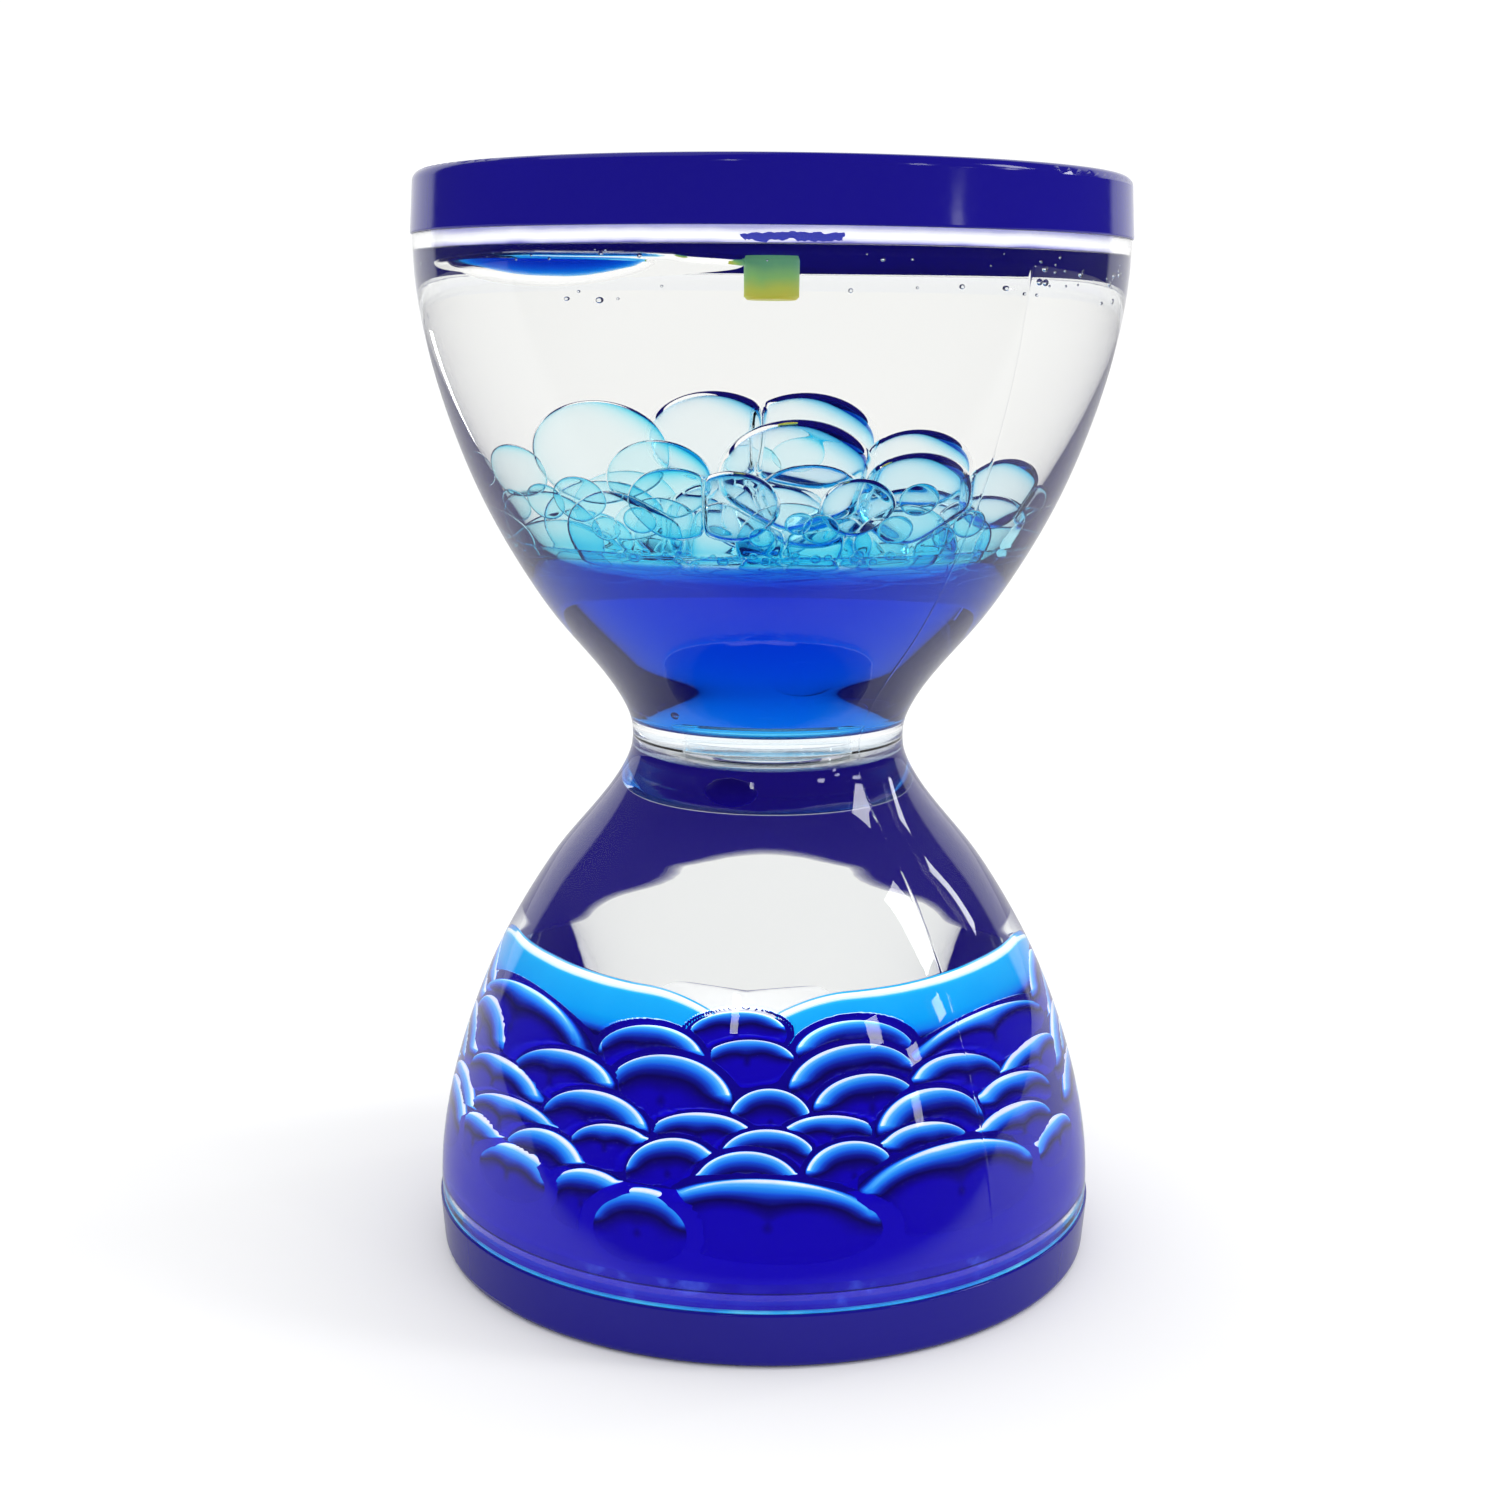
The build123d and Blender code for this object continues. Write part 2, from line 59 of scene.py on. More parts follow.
def natural_spline(points):
    """Cubic through (x, y) points, as a function of x."""
    xs, ys = np.array(points, float).T
    n, h = len(xs), np.diff(xs)
    a, b = np.zeros((n, n)), np.zeros(n)
    a[0, 0] = a[-1, -1] = 1
    for i in range(1, n - 1):
        a[i, i - 1], a[i, i], a[i, i + 1] = h[i - 1], 2 * (h[i - 1] + h[i]), h[i]
        b[i] = 6 * ((ys[i + 1] - ys[i]) / h[i] - (ys[i] - ys[i - 1]) / h[i - 1])
    m = np.linalg.solve(a, b)

    def f(x):
        x = np.clip(np.asarray(x, float), xs[0], xs[-1])
        k = np.clip(np.searchsorted(xs, x) - 1, 0, n - 2)
        t = x - xs[k]
        c3, c2 = (m[k + 1] - m[k]) / (6 * h[k]), m[k] / 2
        c1 = (ys[k + 1] - ys[k]) / h[k] - h[k] * (2 * m[k] + m[k + 1]) / 6
        return ((c3 * t + c2) * t + c1) * t + ys[k]

    return f


bell_r, bore_r = natural_spline(BELL), natural_spline(BORE)


def r_out(z):
    return bell_r(np.abs(np.asarray(z, float) - MID))


def r_in(z):
    return bore_r(np.abs(np.asarray(z, float) - MID))


# ------------------------------------------------------------------ mesh helpers
def make_piece(name, verts, faces, material, body="vessel", smooth=True, sharp=None, recalc=True):
    me = bpy.data.meshes.new(name)
    me.from_pydata((np.asarray(verts, float) * MM).tolist(), [], [tuple(int(i) for i in f) for f in faces])
    me.update()
    if recalc:
        bm = bmesh.new()
        bm.from_mesh(me)
        bmesh.ops.recalc_face_normals(bm, faces=bm.faces)
        bm.to_mesh(me)
        bm.free()
    for p in me.polygons:
        p.use_smooth = smooth
    if sharp is not None:
        me.set_sharp_from_angle(angle=math.radians(sharp))
    me.materials.append(material)
    o = bpy.data.objects.new(name, me)
    scene.collection.objects.link(o)
    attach(o, body)
    return o


def lathe_mesh(profile, angles, ring=False, bump=None):
    """Verts and faces of a body of revolution. profile holds (r, z); a row at r 0 becomes one point."""
    profile = np.asarray(profile, float)
    n = len(angles)
    verts, rows = [], []
    for r, z in profile:
        if r < 1e-6:
            rows.append([len(verts)])
            verts.append((0.0, 0.0, z))
        else:
            rows.append(list(range(len(verts), len(verts) + n)))
            rr = np.full(n, r) if bump is None else r + bump(r, z, angles)
            verts += list(zip(rr * np.sin(angles), -rr * np.cos(angles), np.full(n, z)))
    faces = []
    pairs = list(zip(rows, rows[1:])) + ([(rows[-1], rows[0])] if ring else [])
    for a, b in pairs:
        for j in range(n):
            k = (j + 1) % n
            if len(a) == 1 and len(b) == 1:
                continue
            if len(a) == 1:
                faces.append((a[0], b[k], b[j]))
            elif len(b) == 1:
                faces.append((a[j], a[k], b[0]))
            else:
                faces.append((a[j], a[k], b[k], b[j]))
    return np.array(verts), faces


def even(n, phase=0.0):
    return np.arange(n) * (2 * math.pi / n) + phase


def join(parts):
    verts, faces, at = [], [], 0
    for v, f in parts:
        verts.append(np.asarray(v, float))
        faces += [tuple(i + at for i in g) for g in f]
        at += len(v)
    return np.concatenate(verts), faces


def ball(level):
    bm = bmesh.new()
    bmesh.ops.create_icosphere(bm, subdivisions=level, radius=1.0)
    v = np.array([x.co[:] for x in bm.verts])
    f = [tuple(x.index for x in g.verts) for g in bm.faces]
    bm.free()
    return v / np.linalg.norm(v, axis=1)[:, None], f


BALL = {k: ball(k) for k in (3, 4, 5)}


def smin(a, b, k):
    h = np.clip(0.5 + 0.5 * (b - a) / k, 0, 1)
    return b + (a - b) * h - k * h * (1 - h)


def arc(cx, cz, rad, a0, a1, n=7):
    t = np.radians(np.linspace(a0, a1, n))
    return [(cx + rad * math.cos(x), cz + rad * math.sin(x)) for x in t]


# ------------------------------------------------------------------ materials
def material(name):
    m = bpy.data.materials.new(name)
    m.use_nodes = True
    nt = m.node_tree
    nt.nodes.clear()
    out = nt.nodes.new("ShaderNodeOutputMaterial")
    return m, nt, out


def put(nt, kind, **values):
    n = nt.nodes.new(kind)
    for k, v in values.items():
        key = k.replace("_", " ")
        if key in n.inputs:
            n.inputs[key].default_value = v
        else:
            setattr(n, k, v)
    return n


def principled(nt, out, **values):
    n = nt.nodes.new("ShaderNodeBsdfPrincipled")
    for k, v in values.items():
        n.inputs[k].default_value = v
    nt.links.new(n.outputs["BSDF"], out.inputs["Surface"])
    return n


def ramp(nt, stops, interpolation="LINEAR"):
    n = nt.nodes.new("ShaderNodeValToRGB")
    n.color_ramp.interpolation = interpolation
    e = n.color_ramp.elements
    while len(e) > 1:
        e.remove(e[0])
    e[0].position, e[0].color = stops[0][0], (*stops[0][1], 1)
    for p, c in stops[1:]:
        x = e.new(p)
        x.color = (*c, 1)
    return n


def clear_material(name, ior, tint, noise_scale, bump_strength, bump_mm, rough=(0.0, 0.02), tint2=None, mirror=1.0):
    """Clear plastic or liquid: a faint mottle in tint and polish, and a shallow moulding wave."""
    m, nt, out = material(name)
    p = principled(nt, out, **{"Transmission Weight": 1.0, "IOR": ior, "Roughness": rough[0], "Specular Tint": (mirror, mirror, mirror, 1)})
    tc = nt.nodes.new("ShaderNodeTexCoord")
    n1 = put(nt, "ShaderNodeTexNoise", Scale=noise_scale, Detail=2.0)
    nt.links.new(tc.outputs["Object"], n1.inputs["Vector"])
    c = ramp(nt, [(0.3, tint), (0.7, tint2 or tint)])
    nt.links.new(n1.outputs["Fac"], c.inputs["Fac"])
    nt.links.new(c.outputs["Color"], p.inputs["Base Color"])
    if rough[1] > rough[0]:
        mr = put(nt, "ShaderNodeMapRange")
        mr.inputs["From Min"].default_value, mr.inputs["From Max"].default_value = 0.35, 0.75
        mr.inputs["To Min"].default_value, mr.inputs["To Max"].default_value = rough
        nt.links.new(n1.outputs["Fac"], mr.inputs["Value"])
        nt.links.new(mr.outputs["Result"], p.inputs["Roughness"])
    if bump_strength > 0:
        b = put(nt, "ShaderNodeBump", Strength=bump_strength, Distance=bump_mm * MM)
        nt.links.new(n1.outputs["Fac"], b.inputs["Height"])
        nt.links.new(b.outputs["Normal"], p.inputs["Normal"])
    return m, nt, out, p


def absorb(nt, out, color, density):
    v = nt.nodes.new("ShaderNodeVolumeAbsorption")
    v.inputs["Color"].default_value = (*color, 1)
    v.inputs["Density"].default_value = density
    nt.links.new(v.outputs["Volume"], out.inputs["Volume"])


# clear moulded shell
shell_mat, nt, out, p = clear_material("clear_shell", 1.475, (0.985, 0.987, 0.985), 35.0, 0.10, 0.05, (0.0, 0.015), (0.975, 0.977, 0.972))
# its wetted inside, where liquid and plastic bend light almost alike and reflect next to nothing
wet_mat, nt, out, p = clear_material("wetted_shell", 1.475, (0.985, 0.987, 0.985), 35.0, 0.04, 0.03, (0.0, 0.0), (0.975, 0.977, 0.972), mirror=0.0)
insert_mat, nt, out, p = clear_material("clear_insert", 1.49, (0.95, 0.98, 1.0), 90.0, 0.05, 0.02, (0.0, 0.03), (0.9, 0.96, 1.0))
spout_mat, nt, out, p = clear_material("clear_spout", 1.005, (0.95, 0.98, 1.0), 90.0, 0.05, 0.02, (0.0, 0.03), (0.9, 0.96, 1.0))
bond_mat, nt, out, p = clear_material("clear_adhesive", 1.05, (0.93, 0.97, 1.0), 220.0, 0.3, 0.05, (0.0, 0.06), (0.8, 0.92, 1.0))
oil_mat, nt, out, p = clear_material("clear_oil", 1.47, (0.945, 0.945, 0.93), 20.0, 0.0, 0.0, (0.0, 0.0), (0.93, 0.932, 0.918), mirror=0.0)
oil_drop_mat, nt, out, p = clear_material("oil_drop", 1.005, (0.96, 0.98, 1.0), 60.0, 0.0, 0.0, (0.0, 0.0), (0.9, 0.96, 1.0))
air_mat, nt, out, p = clear_material("air", 0.695, (1.0, 1.0, 1.0), 40.0, 0.0, 0.0, (0.0, 0.0), (0.97, 0.99, 1.0))

# dyed blue liquid in the upper bulb
blue_mat, nt, out, p = clear_material("blue_liquid", 1.34, (0.9, 0.96, 1.0), 25.0, 0.0, 0.0, (0.0, 0.0), (0.86, 0.94, 1.0), mirror=0.0)
absorb(nt, out, (0.0, 0.79, 0.972), 300.0)
lens_mat, nt, out, p = clear_material("blue_lens", 0.97, (0.9, 0.96, 1.0), 60.0, 0.0, 0.0, (0.0, 0.0), (0.84, 0.94, 1.0))
absorb(nt, out, (0.0, 0.72, 0.95), 650.0)

# blue films between the oil cells
film_mat, nt, out, p = clear_material("blue_film", 0.93, (0.995, 1.0, 1.0), 60.0, 0.0, 0.0, (0.0, 0.0), (0.98, 0.995, 1.0))
absorb(nt, out, (0.0, 0.72, 0.93), 2500.0)
glow_mat, nt, out, p = clear_material("pale_film", 0.975, (0.995, 1.0, 1.0), 60.0, 0.0, 0.0, (0.0, 0.0), (0.98, 0.995, 1.0))
absorb(nt, out, (0.0, 0.85, 0.97), 3000.0)


def cap_material(name, glow=0.0):
    m, nt, out = material(name)
    p = principled(nt, out, **{"Roughness": 0.1, "IOR": 1.5, "Specular IOR Level": 0.3})
    tc = nt.nodes.new("ShaderNodeTexCoord")
    big = put(nt, "ShaderNodeTexNoise", Scale=18.0, Detail=3.0)
    fine = put(nt, "ShaderNodeTexNoise", Scale=900.0, Detail=2.0)
    nt.links.new(tc.outputs["Object"], big.inputs["Vector"])
    nt.links.new(tc.outputs["Object"], fine.inputs["Vector"])
    c = ramp(nt, [(0.3, (0.0075, 0.0045, 0.19)), (0.7, (0.0095, 0.006, 0.225))])
    nt.links.new(big.outputs["Fac"], c.inputs["Fac"])
    nt.links.new(c.outputs["Color"], p.inputs["Base Color"])
    # optional glow in the piece's own colour, painted light
    if glow > 0:
        nt.links.new(c.outputs["Color"], p.inputs["Emission Color"])
        p.inputs["Emission Strength"].default_value = glow
        p.inputs["Specular IOR Level"].default_value = 0.0
    mr = put(nt, "ShaderNodeMapRange")
    mr.inputs["To Min"].default_value, mr.inputs["To Max"].default_value = 0.05, 0.14
    nt.links.new(fine.outputs["Fac"], mr.inputs["Value"])
    nt.links.new(mr.outputs["Result"], p.inputs["Roughness"])
    b = put(nt, "ShaderNodeBump", Strength=0.06, Distance=0.05 * MM)
    nt.links.new(fine.outputs["Fac"], b.inputs["Height"])
    nt.links.new(b.outputs["Normal"], p.inputs["Normal"])
    return m


cap_mat = cap_material("cap_blue")
# the end plates glow faintly in their own blue, painted light
plate_mat = cap_material("plate_blue", 0.3)

# soft plug, green going to olive at its tip
plug_mat, nt, out = material("plug_rubber")
p = principled(nt, out, **{"Roughness": 0.45, "Subsurface Weight": 0.3, "Subsurface Scale": 0.002, "IOR": 1.45})
tc = nt.nodes.new("ShaderNodeTexCoord")
sep = nt.nodes.new("ShaderNodeSeparateXYZ")
nt.links.new(tc.outputs["Object"], sep.inputs["Vector"])
mr = put(nt, "ShaderNodeMapRange")
mr.inputs["From Min"].default_value, mr.inputs["From Max"].default_value = 0.1207, 0.1243
nt.links.new(sep.outputs["Z"], mr.inputs["Value"])
n1 = put(nt, "ShaderNodeTexNoise", Scale=420.0, Detail=3.0)
nt.links.new(tc.outputs["Object"], n1.inputs["Vector"])
mx = put(nt, "ShaderNodeMath", operation="MULTIPLY_ADD")
nt.links.new(n1.outputs["Fac"], mx.inputs[0])
mx.inputs[1].default_value = 0.35
nt.links.new(mr.outputs["Result"], mx.inputs[2])
c = ramp(nt, [(0.08, (0.50, 0.44, 0.05)), (0.38, (0.40, 0.46, 0.07)), (0.66, (0.20, 0.42, 0.13)), (1.0, (0.10, 0.30, 0.16))])
nt.links.new(mx.outputs["Value"], c.inputs["Fac"])
nt.links.new(c.outputs["Color"], p.inputs["Base Color"])
# the plug glows in its own colour, painted light
nt.links.new(c.outputs["Color"], p.inputs["Emission Color"])
p.inputs["Emission Strength"].default_value = 0.7
b = put(nt, "ShaderNodeBump", Strength=0.2, Distance=0.1 * MM)
nt.links.new(n1.outputs["Fac"], b.inputs["Height"])
nt.links.new(b.outputs["Normal"], p.inputs["Normal"])


def drop_material(name, stops, painted_emission, mirror=False, mottle=0.05):
    """Blue liquid with painted light: the edge attribute paints bright rims and a dark shade band below them as if lit
    from above, and the colour glows as well; with a soft mottle.
    """
    m, nt, out = material(name)
    p = principled(nt, out, **{"Roughness": 0.25, "IOR": 1.1, "Specular IOR Level": 0.2, "Emission Strength": painted_emission})
    at = nt.nodes.new("ShaderNodeAttribute")
    at.attribute_name = "edge"
    tc = nt.nodes.new("ShaderNodeTexCoord")
    n1 = put(nt, "ShaderNodeTexNoise", Scale=130.0, Detail=2.0)
    nt.links.new(tc.outputs["Object"], n1.inputs["Vector"])
    mx = put(nt, "ShaderNodeMath", operation="MULTIPLY_ADD")
    nt.links.new(n1.outputs["Fac"], mx.inputs[0])
    mx.inputs[1].default_value = mottle
    nt.links.new(at.outputs["Fac"], mx.inputs[2])
    c = ramp(nt, stops)
    nt.links.new(mx.outputs["Value"], c.inputs["Fac"])
    colour = c.outputs["Color"]
    if mirror:
        # painted reflection: between two drops the attribute paints pale grey, for the white seen there through the oil
        gap_reflection = nt.nodes.new("ShaderNodeAttribute")
        gap_reflection.attribute_name = "gap_reflection"
        pale = nt.nodes.new("ShaderNodeMix")
        pale.data_type = "RGBA"
        pale.inputs["B"].default_value = (0.84, 0.85, 0.86, 1)
        nt.links.new(gap_reflection.outputs["Fac"], pale.inputs["Factor"])
        nt.links.new(colour, pale.inputs["A"])
        colour = pale.outputs["Result"]
    nt.links.new(colour, p.inputs["Base Color"])
    nt.links.new(colour, p.inputs["Emission Color"])
    if mirror:
        # liquid under oil turns into a mirror at a shallow angle
        fr = put(nt, "ShaderNodeFresnel", IOR=0.912)
        gl = put(nt, "ShaderNodeBsdfGlossy", Roughness=0.01)
        gl.inputs["Color"].default_value = (0.93, 0.94, 0.95, 1)
        edge = put(nt, "ShaderNodeMapRange")
        edge.inputs["From Min"].default_value, edge.inputs["From Max"].default_value = 0.45, 0.92
        nt.links.new(fr.outputs["Fac"], edge.inputs["Value"])
        mix = nt.nodes.new("ShaderNodeMixShader")
        nt.links.new(edge.outputs["Result"], mix.inputs["Fac"])
        nt.links.new(p.outputs["BSDF"], mix.inputs[1])
        nt.links.new(gl.outputs["BSDF"], mix.inputs[2])
        nt.links.new(mix.outputs["Shader"], out.inputs["Surface"])
    return m


# drop colours with painted light: the white and cyan in the ramps are painted highlights, the dark navy band under them
# painted shade, and bed, top layer and pool glow in their own colour
DEEP, BLUE, SHADE_NAVY = (0.0045, 0.001, 0.17), (0.0055, 0.0008, 0.36), (0.0035, 0.0012, 0.075)
bed_mat = drop_material("bed_drops", [(0.0, BLUE), (0.36, DEEP), (0.53, SHADE_NAVY), (0.67, (0.005, 0.008, 0.24)), (0.79, (0.007, 0.06, 0.54)),
                                      (0.90, (0.02, 0.25, 0.82)), (0.965, (0.10, 0.48, 0.94)), (0.99, (0.62, 0.86, 1.0)), (1.0, (0.97, 0.99, 1.0))], 0.92)
top_mat = drop_material("bed_top", [(0.0, (0.0085, 0.004, 0.155)), (0.2, (0.006, 0.002, 0.13)), (0.30, SHADE_NAVY), (0.40, (0.006, 0.04, 0.45)), (0.52, (0.004, 0.17, 0.68)),
                                    (0.80, (0.002, 0.29, 0.77)), (0.90, (0.02, 0.45, 0.88)), (0.95, (0.7, 0.9, 1.0)), (1.0, (0.95, 0.98, 1.0))], 0.92, mirror=True)
pool_mat = drop_material("blue_pool", [(0.0, (0.0055, 0.0008, 0.36)), (0.5, (0.007, 0.002, 0.38)), (1.0, (0.012, 0.01, 0.42))], 0.92)

# ------------------------------------------------------------------ clear bulbs
PART = np.radians([40.0, 220.0])        # the two mould lines


def shell_angles(n=256):
    a = [even(n)]
    for t in PART:
        a.append(t + np.radians([-0.6, -0.35, -0.2, -0.1, 0.0, 0.1, 0.2, 0.35, 0.6]))
    return np.unique(np.round(np.concatenate(a) % (2 * math.pi), 6))


def part_line(r, z, angles):
    """Fine ridge that the two mould halves leave on the outside."""
    if r < float(r_out(z)) - 0.05:
        return np.zeros_like(angles)
    h = np.zeros_like(angles)
    for t in PART:
        d = (angles - t + math.pi) % (2 * math.pi) - math.pi
        h += 0.045 * np.exp(-((d * r / 0.10) ** 2))
    return h


def bulb_profile():
    z_out = np.concatenate([np.linspace(MID - 0.02, MID + 4.0, 14)[:-1], np.linspace(MID + 4.0, 125.95, 96)])
    rows = [(float(r_out(z)), z) for z in z_out]
    rows += [(41.25, 125.95), (41.25, 129.1), (40.85, 129.5), (40.2, 129.5), (40.2, 124.3), (39.6, 124.3)]
    z_in = np.concatenate([np.linspace(123.9, 73.5, 86), np.linspace(73.0, WEB_TOP + 1.05, 9)])
    rows += [(float(r_in(z)), z) for z in z_in]
    corner = float(r_in(WEB_TOP + 1.0))
    rows += arc(corner - 1.0, WEB_TOP + 1.0, 1.0, 0, -90, 8)[1:]
    rows += [(7.0, WEB_TOP), (7.0, MID - 0.02)]
    return rows


prof = bulb_profile()
ang = shell_angles()
v, f = lathe_mesh(prof, ang, ring=True, bump=part_line)


def wet_inside(o):
    """Give the faces that touch liquid their own material."""
    o.data.materials.append(wet_mat)
    for q in o.data.polygons:
        x, y, z = (t / MM for t in q.center)
        h = abs(z - MID)
        if math.hypot(x, y) < float(r_out(z)) - 1.2 and h > WEB_TOP - MID - 0.01 and h < 57.7:
            q.material_index = 1


upper_shell = make_piece("upper_shell", v, f, shell_mat, sharp=35)
wet_inside(upper_shell)
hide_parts("upper_bulb")
v2 = v.copy()
v2[:, 2] = HEIGHT - v2[:, 2]
lower_shell = make_piece("lower_shell", v2, f, shell_mat, sharp=35)
wet_inside(lower_shell)
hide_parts("lower_bulb")

# ------------------------------------------------------------------ neck insert and spouts
rows = [(0, HEIGHT - WEB_TOP - 0.02), (6.6, HEIGHT - WEB_TOP - 0.02), (7.04, HEIGHT - WEB_TOP + 0.4), (7.04, WEB_TOP - 0.02),
        (9.0, WEB_TOP - 0.02), (9.0, FLANGE_TOP - 0.4), (8.6, FLANGE_TOP), (0, FLANGE_TOP)]
v, f = lathe_mesh(rows, even(128))
insert = make_piece("flow_insert", v, f, insert_mat, sharp=30)
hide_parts("orifice_insert")


def spout(name, x, z0, z1, node):
    s = 1 if z1 > z0 else -1
    rows = [(0.6, z0 + s * 0.1), (2.2, z0 + s * 0.1), (2.2, z0 + s * 0.9), (1.5, z0 + s * 1.5), (1.0, z1 - s * 0.15), (0.9, z1), (0.6, z1)]
    v, f = lathe_mesh(rows, even(64), ring=True)
    v[:, 0] += x
    o = make_piece(name, v, f, spout_mat, sharp=30)
    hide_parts(node)
    return o


spout("riser_spout", 3.2, FLANGE_TOP, 76.0, "riser_nozzle")
spout("drip_spout", -3.2, HEIGHT - WEB_TOP, 60.25, "drip_nozzle")

# ------------------------------------------------------------------ liquids in the upper bulb
fine = even(224, 0.0071)
corner = float(r_in(WEB_TOP + 1.0)) + OVER
rows = [(0, FLANGE_TOP - OVER), (9.0 - OVER, FLANGE_TOP - OVER), (9.0 - OVER, WEB_TOP - OVER)]
rows += arc(corner - 1.0, WEB_TOP + 1.0 - OVER, 1.0, -90, 0, 8)
rows += [(float(r_in(z)) + OVER, z) for z in np.linspace(WEB_TOP + 1.3, BLUE_TOP + 1.1, 50)]
edge = float(r_in(BLUE_TOP + 1.1)) + OVER
rows += [(edge - 0.5, BLUE_TOP + 0.55), (edge - 1.3, BLUE_TOP + 0.2), (edge - 2.6, BLUE_TOP + 0.05), (edge - 5, BLUE_TOP), (0, BLUE_TOP)]
v, f = lathe_mesh(rows, fine)
upper_blue = make_piece("upper_blue", v, f, blue_mat, sharp=40)
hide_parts("upper_blue_liquid")

rows = [(0, BLUE_TOP - OVER), (edge - 5, BLUE_TOP - OVER), (edge - 2.6, BLUE_TOP + 0.05 - OVER), (edge - 1.3, BLUE_TOP + 0.2 - OVER), (edge - 0.5, BLUE_TOP + 0.55 - OVER)]
rows += [(float(r_in(z)) + OVER, z) for z in np.linspace(BLUE_TOP + 1.0, 124.3, 60)]
rows += [(39.6, 124.35), (0, 124.35)]
v, f = lathe_mesh(rows, even(224, 0.0143))
upper_oil = make_piece("upper_oil", v, f, oil_mat, sharp=40)
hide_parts("upper_clear_oil")


# flat air bubble against the end plate, with an uneven outline
def pancake(cx, cy, rad, z0, z1, wobble, seed, n=128, edge_r=1.1, long=1.0):
    g = np.random.default_rng(seed)
    a = even(n)
    w = np.zeros(n)
    for k in range(2, 7):
        w += g.normal(0, wobble / k) * np.cos(k * a + g.uniform(0, 6.28))
    rows = []
    h = z1 - z0
    for t in np.radians(np.linspace(-90, 60, 14)):
        rows.append((rad - edge_r + edge_r * math.cos(t), z0 + h / 2 + h / 2 * math.sin(t)))
    verts, faces = [(cx, cy, z0)], []
    for s in (0.35, 0.7, 0.9):
        rows.insert(int(len(rows) - 14), ((rad - edge_r) * s, z0))
    rows.sort(key=lambda q: 0)
    rows = [((rad - edge_r) * s, z0) for s in (0.4, 0.75)] + rows[-14:]
    for r, z in rows:
        rr = r * (1 + w / rad)
        verts += list(zip(cx + rr * np.sin(a), cy - long * rr * np.cos(a), np.full(n, z)))
    top = len(verts)
    verts.append((cx, cy, rows[-1][1]))
    for j in range(n):
        k = (j + 1) % n
        faces.append((0, 1 + k, 1 + j))
        for i in range(len(rows) - 1):
            b0, b1 = 1 + i * n, 1 + (i + 1) * n
            faces.append((b0 + j, b0 + k, b1 + k, b1 + j))
        b0 = 1 + (len(rows) - 1) * n
        faces.append((b0 + j, b0 + k, top))
    return np.array(verts), faces


v, f = pancake(-16.2, -4.0, 13.2, 123.2, 124.24, 1.6, 3, edge_r=0.9, long=1.8)
air = make_piece("air_bubble", v, f, air_mat, sharp=60)


# lens of blue liquid under the air bubble
def lens(cx, cy, rad, z_top, deep, wobble, seed, n=96):
    g = np.random.default_rng(seed)
    a = even(n)
    w = np.zeros(n)
    for k in range(2, 6):
        w += g.normal(0, wobble / k) * np.cos(k * a + g.uniform(0, 6.28))
    prof = [(t, -deep * max(0.0, 1 - t ** 2) ** 0.75) for t in np.linspace(0.12, 1.0, 16)]
    verts, faces = [(cx, cy, z_top - deep)], []
    rows = [(t * rad, z_top + d) for t, d in prof] + [(0.93 * rad, z_top + 0.25), (0.5 * rad, z_top + 0.2)]
    for r, z in rows:
        rr = r * (1 + w / rad)
        verts += list(zip(cx + rr * np.sin(a), cy - rr * np.cos(a), np.full(n, z)))
    top = len(verts)
    verts.append((cx, cy, z_top + 0.2))
    for j in range(n):
        k = (j + 1) % n
        faces.append((0, 1 + k, 1 + j))
        for i in range(len(rows) - 1):
            b0, b1 = 1 + i * n, 1 + (i + 1) * n
            faces.append((b0 + j, b0 + k, b1 + k, b1 + j))
        b0 = 1 + (len(rows) - 1) * n
        faces.append((b0 + j, b0 + k, top))
    return np.array(verts), faces


v, f = lens(-21.0, -15.0, 10.8, 123.05, 2.1, 1.5, 5)
blue_lens = make_piece("blue_lens", v, f, lens_mat, sharp=60)
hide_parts("surface_blue_lens")

